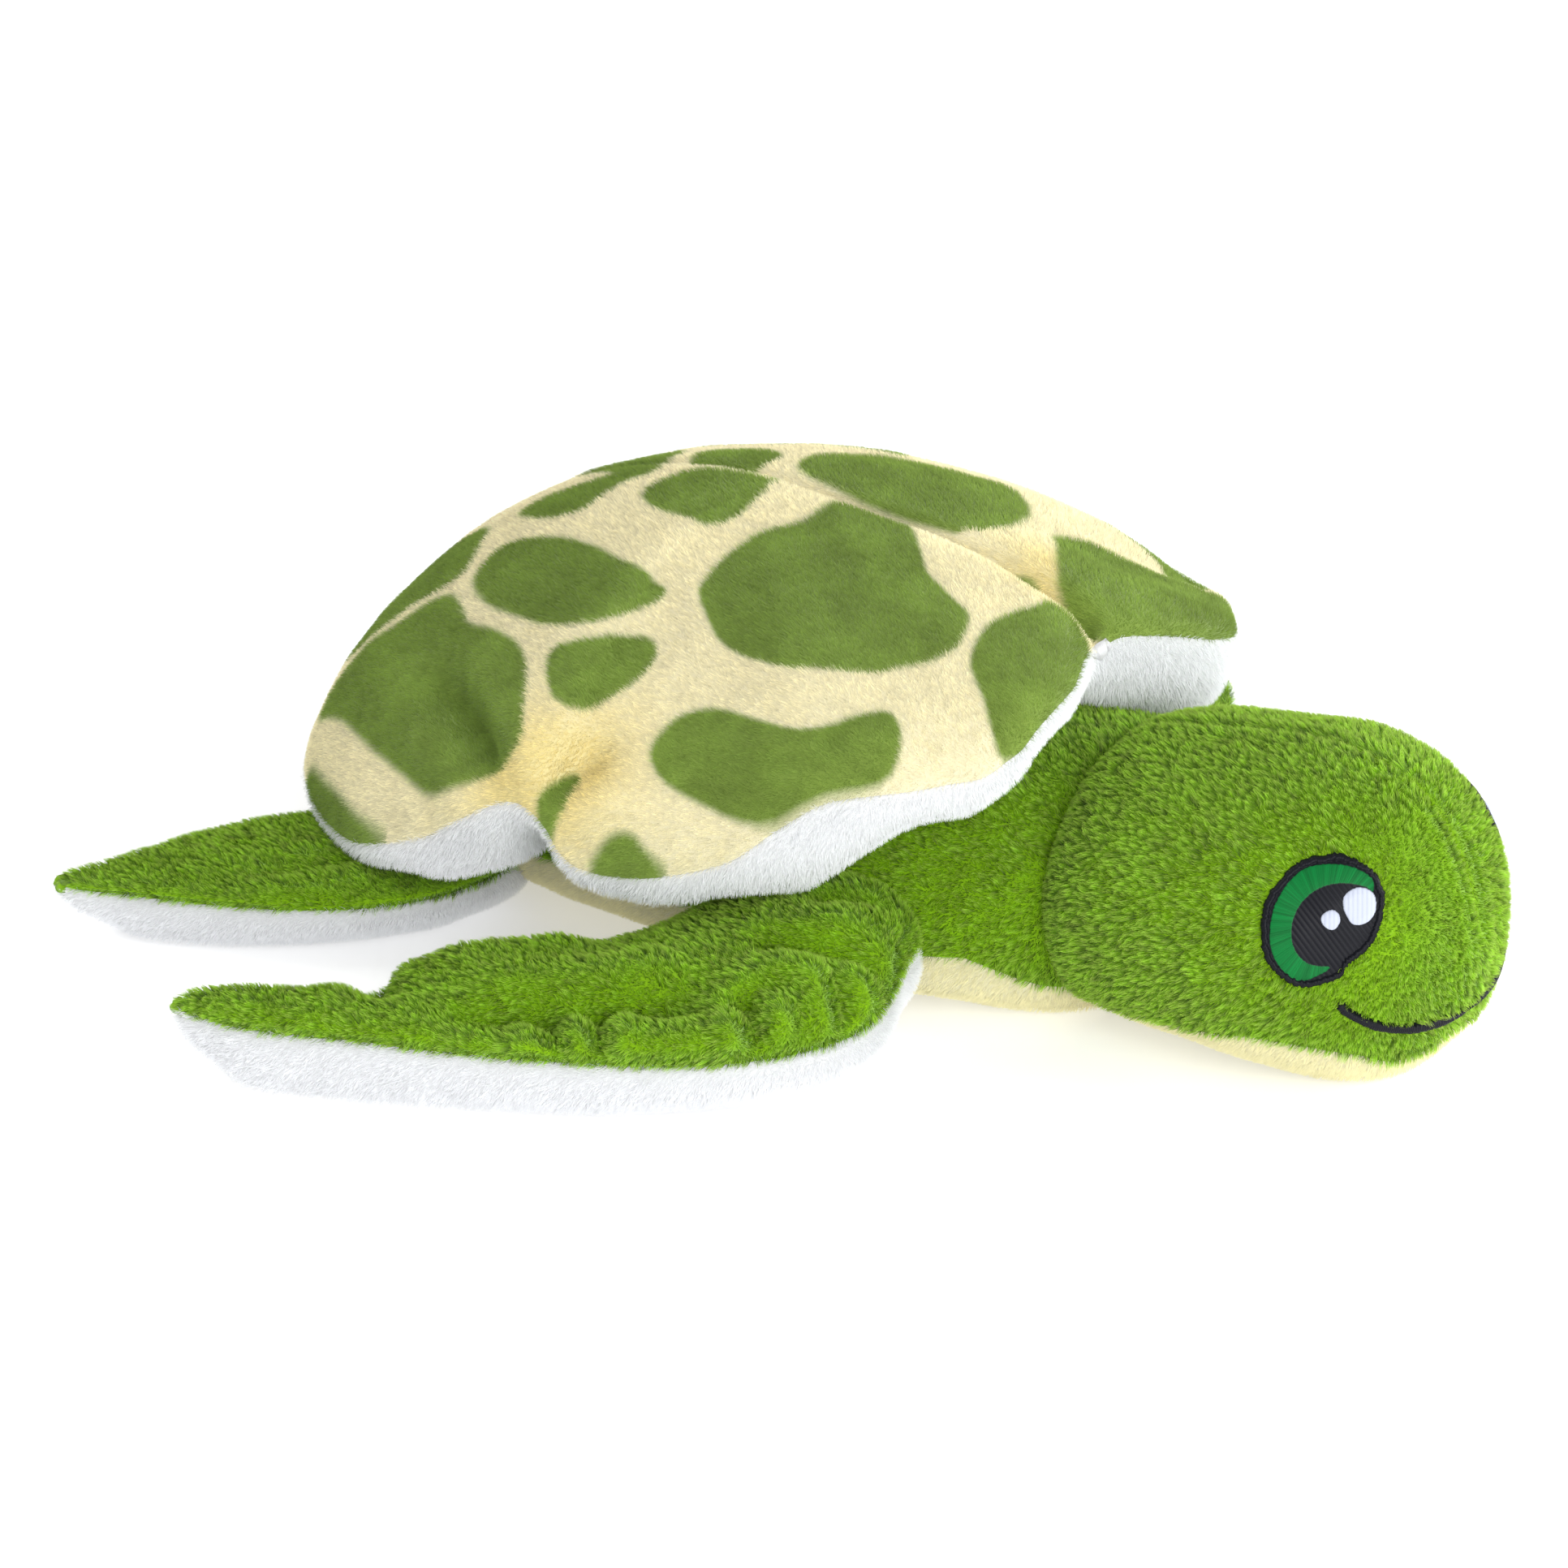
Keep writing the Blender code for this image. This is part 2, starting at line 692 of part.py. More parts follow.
def head_form(name, inset, collection):
    length = HEAD_NOSE - HEAD_BACK
    sections = []
    for along, width, rise, drop in HEAD_SHARES:
        sections.append(
            Section(
                place(HEAD_BACK + length * along, 0, HEAD_MIDDLE),
                Vector((1, 0, 0)),
                HEAD_HALF_WIDTH * width,
                (HEAD_TOP - HEAD_MIDDLE) * rise,
                (HEAD_MIDDLE + FLAT_DEPTH) * drop,
                HEAD_FULLNESS,
            )
        )
    ends = (place(HEAD_BACK - OVERRUN / 2, 0, HEAD_MIDDLE), place(HEAD_NOSE, 0, HEAD_MIDDLE))
    return stuffed_form(name, sections, ends, *density(RING_POINTS, inset), inset, collection)


def chin_seam(name, lowered, collection):
    line = ((HEAD_BACK - OVERRUN, CHIN_SEAM_BACK), (HEAD_NOSE + OVERRUN, CHIN_SEAM_NOSE))
    half = HEAD_HALF_WIDTH + OVERRUN
    left = [place(forward, half, height - lowered) for forward, height in line]
    right = [place(forward, -half, height - lowered) for forward, height in line]
    return block_between(name, left, right, Vector((0, 0, -GROUND_DEPTH)), collection)


def head_half(hand, collection):
    """The space on one side of the seam along the top of the head."""
    start = HEAD_BACK - OVERRUN
    length = HEAD_NOSE + OVERRUN - start

    def build(bm):
        bmesh.ops.create_cube(bm, size=1)
        size = (HEAD_HALF_WIDTH + OVERRUN, length, HEAD_TOP + 2 * OVERRUN)
        bmesh.ops.scale(bm, vec=size, verts=bm.verts)

    obj = mesh_object(f"head_half_{'left' if hand > 0 else 'right'}", build, collection)
    side = (HEAD_HALF_WIDTH + OVERRUN - SEAM_GAP) / 2
    obj.location = place(start + length / 2, side, HEAD_TOP / 2, hand)
    return as_guide(obj)


def make_head(ground, guides, parts, materials):
    centre = place(NECK_FORWARD, 0, NECK_HEIGHT)
    socket = ball("head_socket", NECK_RADIUS + NECK_GAP, centre, guides)
    pad_socket = ball("pad_socket", NECK_RADIUS + NECK_PAD + FIT_GAP + NECK_GAP, centre, guides)
    cavity = as_guide(head_form("head_cavity", CLOTH, guides))
    above = chin_seam("chin_seam", 0.0, guides)
    below = chin_seam("chin_seam_below", SEAM_GAP, guides)
    for hand, side in ((1, "left"), (-1, "right")):
        panel = head_form(f"head_{side}", 0.0, parts)
        piece(panel, f"head_{side}", materials["green"], parts)
        boolean(panel, "DIFFERENCE", (cavity, above, socket, head_half(-hand, guides)))
    chin = piece(head_form("head_chin", 0.0, parts), "head_chin", materials["cream"], parts)
    boolean(chin, "DIFFERENCE", (cavity,))
    boolean(chin, "INTERSECT", (below,))
    boolean(chin, "DIFFERENCE", (socket, ground))
    fill = head_form("head_stuffing", CLOTH + STUFFING_EASE, parts)
    piece(fill, "head_stuffing", materials["fibre"], parts)
    boolean(fill, "DIFFERENCE", (pad_socket,))


def make_neck_pad(parts, materials):
    """A cap of fibre fill between the neck dome and the head, turned about the neck's middle line."""
    inner = NECK_RADIUS - NECK_PAD_SEAT
    outer = NECK_RADIUS + FIT_GAP + NECK_PAD
    profile = []
    for radius, order in ((outer, range(PAD_STEPS + 1)), (inner, range(PAD_STEPS, -1, -1))):
        for i in order:
            angle = NECK_PAD_ANGLE * i / PAD_STEPS
            profile.append((radius * math.sin(angle), radius * math.cos(angle)))

    def build(bm):
        points = [bm.verts.new((side, 0, ahead)) for side, ahead in profile]
        for first, second in zip(points, points[1:]):
            bm.edges.new((first, second))

    obj = mesh_object("neck_stuffing", build, parts)
    obj.data.materials.append(materials["fibre"])
    turned = obj.modifiers.new("Turned cap", "SCREW")
    turned.steps = PAD_TURN_STEPS
    turned.render_steps = PAD_TURN_STEPS
    turned.use_merge_vertices = True
    turned.merge_threshold = FIT_GAP / 10
    turned.use_normal_calculate = True
    obj.location = place(NECK_FORWARD, 0, NECK_HEIGHT)
    obj.rotation_euler = (math.pi / 2, 0, 0)
    obj.data.shade_smooth()


def make_embroidery(guides, parts, materials):
    lift = as_guide(head_form("head_lift", -FIT_GAP, guides))
    for hand, side in ((1, "left"), (-1, "right")):

        def build(bm):
            bmesh.ops.create_cone(bm, cap_ends=True, segments=EYE_SEGMENTS, radius1=1, radius2=1, depth=1)
            bmesh.ops.scale(bm, vec=(EYE_HALF_WIDTH, EYE_HALF_HEIGHT, EYE_REACH), verts=bm.verts)

        cutter = mesh_object(f"eye_cutter_{side}", build, guides)
        turn = Matrix.Rotation(hand * EYE_TURN, 4, "Z") @ Matrix.Rotation(math.pi / 2, 4, "X")
        tilt = Matrix.Rotation(hand * EYE_TILT, 4, "Z")
        cutter.matrix_world = Matrix.Translation(place(EYE_FORWARD, EYE_SIDE, EYE_HEIGHT, hand)) @ turn @ tilt
        as_guide(cutter)
        eye = head_form(f"eye_{side}", -FIT_GAP - EMBROIDERY, parts)
        piece(eye, f"eye_{side}", materials["thread"], parts)
        boolean(eye, "INTERSECT", (cutter,))
        boolean(eye, "DIFFERENCE", (lift,))
    lower = []
    upper = []
    for i in range(MOUTH_STEPS + 1):
        share = 2 * i / MOUTH_STEPS - 1
        height = MOUTH_HEIGHT + MOUTH_SMILE * share**2
        half = MOUTH_THICKNESS / 2
        lower.append(place(MOUTH_START, MOUTH_HALF_WIDTH * share, height - half))
        upper.append(place(MOUTH_START, MOUTH_HALF_WIDTH * share, height + half))
    ahead = place(HEAD_NOSE + OVERRUN - MOUTH_START, 0, 0)
    band = block_between("mouth_band", lower, upper, ahead, guides)
    mouth = piece(head_form("mouth", -FIT_GAP - EMBROIDERY, parts), "mouth", materials["thread"], parts)
    boolean(mouth, "INTERSECT", (band,))
    boolean(mouth, "DIFFERENCE", (lift,))


def main():
    clear_scene()
    parts = new_collection("plush_turtle", shown=True)
    guides = new_collection("cutters", shown=False)
    materials = {
        "green": new_material("green plush", GREEN, 0.9),
        "print": new_material("printed plush", PRINT, 0.9),
        "white": new_material("white plush", WHITE, 0.9),
        "cream": new_material("cream plush", CREAM, 0.9),
        "fibre": new_material("fibre fill", FIBRE, 1.0),
        "thread": new_material("embroidery thread", THREAD, 0.45),
    }
    rows = body_rows()
    ground = ground_block(guides)
    limbs = all_limbs()
    make_body(rows, [limb.groove(guides) for limb in limbs], ground, guides, parts, materials)
    make_shell(rows, guides, parts, materials)
    make_neck_pad(parts, materials)
    make_head(ground, guides, parts, materials)
    make_embroidery(guides, parts, materials)
    for limb in limbs:
        limb.make(ground, guides, parts, materials)


main()
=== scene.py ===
import itertools
import json
import math

import bmesh
import bpy
import numpy as np
from mathutils import Matrix, Vector
from mathutils.bvhtree import BVHTree

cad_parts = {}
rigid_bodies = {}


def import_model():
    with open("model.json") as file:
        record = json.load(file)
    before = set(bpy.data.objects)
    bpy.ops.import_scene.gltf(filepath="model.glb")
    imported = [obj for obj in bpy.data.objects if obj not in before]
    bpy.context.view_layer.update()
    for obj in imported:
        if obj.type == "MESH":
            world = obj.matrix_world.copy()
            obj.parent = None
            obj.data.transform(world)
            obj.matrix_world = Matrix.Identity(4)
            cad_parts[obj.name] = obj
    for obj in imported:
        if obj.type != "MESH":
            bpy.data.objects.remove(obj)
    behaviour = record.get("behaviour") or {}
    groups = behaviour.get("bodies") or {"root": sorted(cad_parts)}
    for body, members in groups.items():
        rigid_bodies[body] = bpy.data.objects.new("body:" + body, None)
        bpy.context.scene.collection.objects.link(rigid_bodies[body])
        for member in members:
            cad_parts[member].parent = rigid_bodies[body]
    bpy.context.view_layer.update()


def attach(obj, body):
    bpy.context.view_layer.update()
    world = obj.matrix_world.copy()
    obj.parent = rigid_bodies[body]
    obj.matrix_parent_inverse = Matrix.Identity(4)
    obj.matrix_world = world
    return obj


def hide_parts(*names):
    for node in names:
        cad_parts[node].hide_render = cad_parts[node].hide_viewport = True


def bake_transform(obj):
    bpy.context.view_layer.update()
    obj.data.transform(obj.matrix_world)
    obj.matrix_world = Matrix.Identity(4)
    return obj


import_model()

# The plush turtle's cloth. The turtle faces -Y, its left side is +X and its right side, which
# the photograph shows, is -X. The tables are in millimetres. Each stuffed form is a spline surface
# through rings, dented and puffed along its seams and folds in code, parted into its cloth panels
# and covered with pile by Geometry Nodes.

MM = 0.001
# Points in each row round a form
AROUND = 720
CLOTH = 1.1 * MM


# Surfaces: rows of points round a form, from one end to the other


def spline(t):
    """The row before each parameter and the weights of the four rows that a cubic B-spline takes."""
    i = np.floor(t + 1e-9).astype(int)
    u = (t - i)[:, None]
    w = np.concatenate([(1 - u) ** 3, 3 * u**3 - 6 * u**2 + 4, -3 * u**3 + 3 * u**2 + 3 * u + 1, u**3], 1) / 6
    return i, w


def rows_at(rows, t):
    """The rows of a B-spline surface at these parameters."""
    i, w = spline(t)
    last = len(rows) - 1
    return sum(w[:, k, None, None] * rows[np.clip(i - 1 + k, 0, last)] for k in range(4))


def loft(rings, poles, spacing):
    """A closed spline surface through rings and the two poles, as rows this far apart."""
    rings = np.array(rings, float)
    count = rings.shape[1]
    t = np.arange(AROUND) / AROUND * count
    i, w = spline(t)
    dense = sum(w[None, :, k, None] * rings[:, (i - 1 + k) % count] for k in range(4))
    pole = [np.repeat(np.array(p, float)[None], AROUND, 0)[None] for p in poles]
    half = AROUND // 2
    rows = np.concatenate(
        [np.roll(dense[1::-1], half, 1), pole[0], dense, pole[1], np.roll(dense[:-3:-1], half, 1)]
    )
    fine = np.linspace(2.0, len(rings) + 3.0, 300)
    apart = np.linalg.norm(np.diff(rows_at(rows, fine)[:, ::12], axis=0), axis=2).mean(1)
    length = np.concatenate([[0], np.cumsum(apart)])
    count = max(3, int(length[-1] / spacing) + 1)
    grid = rows_at(rows, np.interp(np.linspace(0, length[-1], count), length, fine))
    grid[0] = grid[0].mean(0)
    grid[-1] = grid[-1].mean(0)
    return grid


def ring(middle, across, half_width, rise, drop, fullness, crown=2.0, points=12):
    """One ring of a stuffed form. Fullness squares its lower half and crown its upper half."""
    # a B-spline passes inside its ring, so the ring is drawn larger
    grow = 3 / (2 + math.cos(math.tau / points))
    out = []
    for i in range(points):
        a = math.tau * i / points
        wide, tall = math.cos(a), math.sin(a)
        power = fullness if tall < 0 else crown
        full = (abs(wide) ** power + abs(tall) ** power) ** (-1 / power)
        wide, tall = wide * full, tall * full
        out.append(
            np.array(middle)
            + np.array(across) * half_width * grow * wide
            + np.array((0, 0, tall * grow * (rise if tall > 0 else drop)))
        )
    return out


def normals(grid):
    """Outward unit normals of a grid of rows, closed around."""
    along = np.gradient(grid, axis=0)
    around = np.roll(grid, -1, 1) - np.roll(grid, 1, 1)
    n = np.cross(around, along)
    n[0] = n[1].mean(0)
    n[-1] = n[-2].mean(0)
    n /= np.maximum(np.linalg.norm(n, axis=2, keepdims=True), 1e-12)
    middle = grid.mean((0, 1))
    if ((grid - middle) * n).sum(2).mean() < 0:
        n = -n
    return n


def near(points, line):
    """Each point's distance to a line through given points, and where along it, from 0 to 1."""
    line = np.array(line, float)
    lengths = np.linalg.norm(np.diff(line, axis=0), axis=1)
    starts = np.concatenate([[0], np.cumsum(lengths)])
    best = np.full(points.shape[:-1], 1e9)
    where = np.zeros(points.shape[:-1])
    for a, b, start, length in zip(line, line[1:], starts, lengths):
        s = np.clip(((points - a) @ (b - a)) / length**2, 0, 1)
        d = np.linalg.norm(points - a - s[..., None] * (b - a), axis=-1)
        closer = d < best
        best = np.where(closer, d, best)
        where = np.where(closer, (start + s * length) / starts[-1], where)
    return best, where


def between(a, b, c, d, u):
    """A point of the smooth line from b to c, where a comes before them and d after."""
    return 0.5 * (2 * b + (c - a) * u + (2 * a - 5 * b + 4 * c - d) * u**2 + (3 * b - a - 3 * c + d) * u**3)


def curve_through(points, steps=8):
    """A smoother line through a few points."""
    p = np.array(points, float)
    p = np.concatenate([[2 * p[0] - p[1]], p, [2 * p[-1] - p[-2]]])
    out = []
    for four in zip(p, p[1:], p[2:], p[3:]):
        out += [between(*four, u) for u in np.linspace(0, 1, steps, endpoint=False)]
    out.append(p[-2])
    return np.array(out)


def step(x):
    """A smooth step from 0 to 1."""
    x = np.clip(x, 0, 1)
    return x * x * (3 - 2 * x)


def fold(points, line, depth, width, puff, ends):
    """How far a crease along a line moves each point: in along the line, and out beside it."""
    d, t = near(points, curve_through(np.array(line) * MM))
    fade = step(np.minimum(t, 1 - t) / ends)
    w = width * MM
    dent = -np.exp(-((d / w) ** 2)) + puff * np.exp(-(((d - 2.1 * w) / (1.2 * w)) ** 2))
    return depth * MM * dent * fade


# Large primes, which scatter the places of a lattice over its table
HASH = 73856093, 19349663, 83492791


def lattice(points, size, seed):
    """Smooth noise from -1 to 1 with features of about this size."""
    rng = np.random.default_rng(seed)
    table = rng.uniform(-1, 1, 4096)
    p = np.asarray(points) / size + 37.0
    base = np.floor(p).astype(int)
    f = p - base
    f = f * f * (3 - 2 * f)
    total = 0
    for corner in itertools.product((0, 1), repeat=3):
        key = np.zeros(p.shape[:-1], int)
        weight = np.ones(p.shape[:-1])
        for axis, far in enumerate(corner):
            key ^= (base[..., axis] + far) * HASH[axis]
            weight = weight * (f[..., axis] if far else 1 - f[..., axis])
        total = total + weight * table[key % 4096]
    return total


def arc_length(grid):
    """The length around each row, up to each point."""
    apart = np.linalg.norm(np.roll(grid, -1, 1) - grid, axis=2)
    return np.concatenate([np.zeros((len(grid), 1)), np.cumsum(apart, 1)], 1)


def seam_distance(grid, column):
    """Distance around each row from the seam that lies in this column."""
    length = arc_length(grid)
    d = np.abs(length[:, :-1] - length[:, column : column + 1])
    return np.minimum(d, length[:, -1:] - d)


def cut(grid, start, end, columns):
    """The part of each row from start to end, in turns, one of each for each row."""
    start, end = np.broadcast_to(start, len(grid)), np.broadcast_to(end, len(grid))
    share = np.linspace(0, 1, columns)
    v = (start[:, None] + (end - start)[:, None] * share[None]) * AROUND
    i = np.floor(v).astype(int)
    f = (v - i)[..., None]
    r = np.arange(len(grid))[:, None]
    return grid[r, i % AROUND] * (1 - f) + grid[r, (i + 1) % AROUND] * f


def panel_mesh(name, grid, closed=False):
    """A mesh of a grid of rows, which are closed round or open."""
    m, n, _ = grid.shape
    index = np.arange(m * n).reshape(m, n)
    right = np.roll(index, -1, 1) if closed else index[:, 1:]
    left = index if closed else index[:, :-1]
    quads = np.stack([left[:-1], right[:-1], right[1:], left[1:]], -1).reshape(-1, 4)
    mesh = bpy.data.meshes.new(name)
    mesh.from_pydata(grid.reshape(-1, 3).tolist(), [], quads.tolist())
    mesh.validate()
    obj = bpy.data.objects.new(name, mesh)
    bpy.context.scene.collection.objects.link(obj)
    return obj


def finish_mesh(obj, outward_from):
    """Joins points that coincide, turns the faces outwards and smooths the shading."""
    bm = bmesh.new()
    bm.from_mesh(obj.data)
    bmesh.ops.remove_doubles(bm, verts=bm.verts, dist=0.00002)
    bmesh.ops.dissolve_degenerate(bm, edges=bm.edges, dist=0.000005)
    bmesh.ops.recalc_face_normals(bm, faces=bm.faces)
    middle = Vector(outward_from)
    lean = sum((f.calc_center_median() - middle).dot(f.normal) * f.calc_area() for f in bm.faces)
    if lean < 0:
        bmesh.ops.reverse_faces(bm, faces=bm.faces)
    bm.to_mesh(obj.data)
    bm.free()
    obj.data.shade_smooth()


# Materials and pile


def node(tree, kind, inputs=(), **settings):
    """A new node with its settings and its inputs: sockets to link from, or values."""
    made = tree.nodes.new(kind)
    for key, value in settings.items():
        setattr(made, key, value)
    for key, value in dict(inputs).items():
        if isinstance(value, bpy.types.NodeSocket):
            tree.links.new(value, made.inputs[key])
        elif value is not None:
            made.inputs[key].default_value = value
    return made


def new_material(name, roughness, specular):
    """A material with its node tree and its shader's inputs."""
    material = bpy.data.materials.new(name)
    material.use_nodes = True
    inputs = material.node_tree.nodes["Principled BSDF"].inputs
    inputs["Roughness"].default_value = roughness
    inputs["Specular IOR Level"].default_value = specular
    return material, material.node_tree, inputs


def attribute(tree, name, output):
    return node(tree, "ShaderNodeAttribute", attribute_name=name).outputs[output]


def cloth_material(name):
    """The backing cloth: the piece's tint with a fine knitted bump, and painted shade in the knit's hollows."""
    material, tree, inputs = new_material(name, 0.95, 0.1)
    inputs["Sheen Weight"].default_value = 0.25
    inputs["Sheen Roughness"].default_value = 0.4
    knit = node(tree, "ShaderNodeTexNoise", {"Scale": 900, "Detail": 4}).outputs["Fac"]
    # painted shade: the knit is darker where its bump is lower
    dark = node(tree, "ShaderNodeMapRange", {"Value": knit, "To Min": 0.62, "To Max": 1.0}).outputs["Result"]
    tint = attribute(tree, "tint", "Color")
    colour = node(tree, "ShaderNodeVectorMath", {0: tint, "Scale": dark}, operation="SCALE")
    bump = node(tree, "ShaderNodeBump", {"Strength": 0.5, "Distance": 0.6 * MM, "Height": knit})
    tree.links.new(colour.outputs["Vector"], inputs["Base Color"])
    tree.links.new(bump.outputs["Normal"], inputs["Normal"])
    return material


# The share of a fibre's light that passes through it
LET_THROUGH = 0.35


def pile_material(name, root, tip, spread, shine=0.3, sheen_tint=(1, 1, 1), paling=0.0):
    """Fibres: darker at the root than at the tip, a painted shade deep in the pile, each a little different, and
    letting light through.
    """
    material, tree, inputs = new_material(name, 0.5, shine)
    fibre = node(tree, "ShaderNodeHairInfo").outputs

    def ranged(value, low, high, start=0.0):
        ends = {"Value": value, "From Min": start, "To Min": low, "To Max": high}
        return node(tree, "ShaderNodeMapRange", ends).outputs["Result"]

    def product(a, b):
        return node(tree, "ShaderNodeMath", {0: a, 1: b}, operation="MULTIPLY").outputs["Value"]

    light = product(ranged(fibre["Intercept"], root, tip), ranged(fibre["Random"], 1 - spread, 1 + spread))
    # painted shade between tufts, from the pile's shade attribute
    light = product(light, attribute(tree, "shade", "Fac"))
    tint = attribute(tree, "tint", "Color")
    dyed = node(tree, "ShaderNodeVectorMath", {0: tint, "Scale": light}, operation="SCALE").outputs["Vector"]
    # the last half of a fibre turns paler, which is a painted sheen; a mix of colours has its factor and colours in
    # these sockets
    factor, dark, pale = 0, 6, 7
    paler = {factor: ranged(fibre["Intercept"], 0.0, paling, 0.5), dark: dyed, pale: (*sheen_tint, 1)}
    colour = node(tree, "ShaderNodeMix", paler, data_type="RGBA").outputs[2]
    tree.links.new(colour, inputs["Base Color"])
    glow = node(tree, "ShaderNodeBsdfTranslucent", {"Color": colour})
    shader = tree.nodes["Principled BSDF"].outputs["BSDF"]
    through = node(tree, "ShaderNodeMixShader", {"Fac": LET_THROUGH, 1: shader, 2: glow.outputs["BSDF"]})
    tree.links.new(through.outputs["Shader"], tree.nodes["Material Output"].inputs["Surface"])
    return material


# What tells one pile from another: fibres for a square millimetre; their length and radius; how far
# they stand up and lean with the comb; the tufts' size and lean; how much fibres stray and gather
# in their tuft; and how much darker it is between tufts, which is painted shade
PILE_SETTINGS = (
    "Density", "Length", "Radius", "Lift", "Lean", "Tuft Size", "Tuft Lean", "Stray", "Gather", "Contrast",
)
PILE_UNITS = {"Density": MM**-2, "Length": MM, "Radius": MM, "Tuft Size": MM}


def pile_group():
    """Geometry Nodes that grow pile on a cloth object: fibres that leave along its normal and lean
    with its comb attribute, in tufts, as dense as its cover attribute says."""
    group = bpy.data.node_groups.new("Pile", "GeometryNodeTree")
    sockets = [("Geometry", "Geometry"), ("Cloth", "Object"), ("Seed", "Int"), ("Material", "Material")]
    for name, kind in sockets + [(name, "Float") for name in PILE_SETTINGS]:
        group.interface.new_socket(name, in_out="INPUT", socket_type=f"NodeSocket{kind}")
    group.interface.new_socket("Geometry", in_out="OUTPUT", socket_type="NodeSocketGeometry")
    given = node(group, "NodeGroupInput").outputs

    def calc(operation, *values):
        return node(group, "ShaderNodeMath", enumerate(values), operation=operation).outputs[0]

    def times(a, b):
        return calc("MULTIPLY", a, b)

    def vector(operation, a, b=None, output="Vector"):
        return node(group, "ShaderNodeVectorMath", {0: a, 1: b}, operation=operation).outputs[output]

    def scaled(a, scale):
        return node(group, "ShaderNodeVectorMath", {0: a, "Scale": scale}, operation="SCALE").outputs["Vector"]

    def named(name, kind="FLOAT_VECTOR"):
        return node(group, "GeometryNodeInputNamedAttribute", {"Name": name}, data_type=kind).outputs["Attribute"]

    cloth = node(group, "GeometryNodeObjectInfo", {"Object": given["Cloth"]}, transform_space="RELATIVE")
    # the pile side of the cloth has the first material
    side = node(group, "GeometryNodeInputMaterialIndex").outputs[0]
    where = {
        "Mesh": cloth.outputs["Geometry"],
        "Selection": calc("LESS_THAN", side, 0.5),
        "Density": times(given["Density"], named("cover", "FLOAT")),
        "Seed": given["Seed"],
    }
    spread = node(group, "GeometryNodeDistributePointsOnFaces", where).outputs
    normal = spread["Normal"]

    # fibres gather into tufts: their tips lean to the middle of the cell that they stand in
    at = node(group, "GeometryNodeInputPosition").outputs[0]
    frequency = calc("DIVIDE", 1.0, given["Tuft Size"])
    tuft = node(group, "ShaderNodeTexVoronoi", {"Vector": at, "Scale": frequency}).outputs
    gather = scaled(vector("SUBTRACT", tuft["Position"], at), calc("DIVIDE", given["Gather"], given["Length"]))
    # painted shade: fibres near a tuft's edge lie deeper and are painted darker; each tuft also has its own random
    # tone
    ends = {"From Min": 0.2, "From Max": 0.8, "To Min": -0.35, "To Max": 0.65}
    depth = node(group, "ShaderNodeMapRange", {"Value": tuft["Distance"], **ends}).outputs["Result"]
    each = node(group, "ShaderNodeSeparateXYZ", {"Vector": tuft["Color"]}).outputs["X"]
    varied = calc("ADD", depth, times(calc("SUBTRACT", each, 0.5), 0.5))
    shade = calc("SUBTRACT", 1.0, times(varied, given["Contrast"]))

    def waves(share, offset, strength):
        """How neighbouring tufts lean alike: noise of a share of their frequency."""
        moved = vector("ADD", tuft["Position"], (offset, offset * 0.7, -offset))
        noise = node(group, "ShaderNodeTexNoise", {"Vector": moved, "Scale": times(frequency, share), "Detail": 1.0})
        return scaled(vector("SUBTRACT", noise.outputs["Color"], (0.5, 0.5, 0.5)), strength)

    tufts = scaled(vector("ADD", waves(0.7, 3.1, 2.6), waves(0.2, 9.7, 2.0)), given["Tuft Lean"])
    ends = {"Min": (-1, -1, -1), "Max": (1, 1, 1)}
    random = node(group, "FunctionNodeRandomValue", ends, data_type="FLOAT_VECTOR").outputs[0]
    comb = scaled(named("comb"), given["Lean"])
    lean = vector("ADD", vector("ADD", comb, tufts), vector("ADD", scaled(random, given["Stray"]), gather))
    flat = vector("SUBTRACT", lean, scaled(normal, vector("DOT_PRODUCT", lean, normal, "Value")))
    # its ends and its result for a plain number have these sockets
    share = node(group, "FunctionNodeRandomValue", {2: 0.72, 3: 1.15}, data_type="FLOAT").outputs[1]
    long = times(times(share, given["Length"]), named("nap", "FLOAT"))

    points = spread["Points"]
    for name, kind, value in (
        ("pile_up", "FLOAT_VECTOR", normal),
        ("pile_lean", "FLOAT_VECTOR", flat),
        ("pile_long", "FLOAT", long),
        ("shade", "FLOAT", shade),
    ):
        stored = {"Geometry": points, "Name": name, "Value": value}
        points = node(group, "GeometryNodeStoreNamedAttribute", stored, data_type=kind, domain="POINT").outputs[0]

    # each fibre starts as a line of no length, and its points are then moved to their places
    line = node(group, "GeometryNodeCurvePrimitiveLine", {"End": (0, 0, 1)}).outputs["Curve"]
    line = node(group, "GeometryNodeResampleCurve", {"Curve": line, "Count": 4}).outputs["Curve"]
    stood = {"Points": points, "Instance": line, "Scale": (1e-5, 1e-5, 1e-5)}
    stood = node(group, "GeometryNodeInstanceOnPoints", stood).outputs["Instances"]
    fibres = node(group, "GeometryNodeRealizeInstances", {"Geometry": stood}).outputs["Geometry"]
    factor = node(group, "GeometryNodeSplineParameter").outputs["Factor"]
    up = scaled(named("pile_up"), times(factor, given["Lift"]))
    bent = scaled(named("pile_lean"), calc("POWER", factor, 1.35))
    shape = scaled(vector("ADD", up, bent), named("pile_long", "FLOAT"))
    fibres = node(group, "GeometryNodeSetPosition", {"Geometry": fibres, "Offset": shape}).outputs["Geometry"]
    taper = calc("SUBTRACT", 1.0, times(calc("POWER", factor, 2.0), 0.75))
    thick = {"Curve": fibres, "Radius": times(taper, given["Radius"])}
    fibres = node(group, "GeometryNodeSetCurveRadius", thick).outputs["Curve"]
    dyed = {"Geometry": fibres, "Material": given["Material"]}
    dyed = node(group, "GeometryNodeSetMaterial", dyed).outputs["Geometry"]
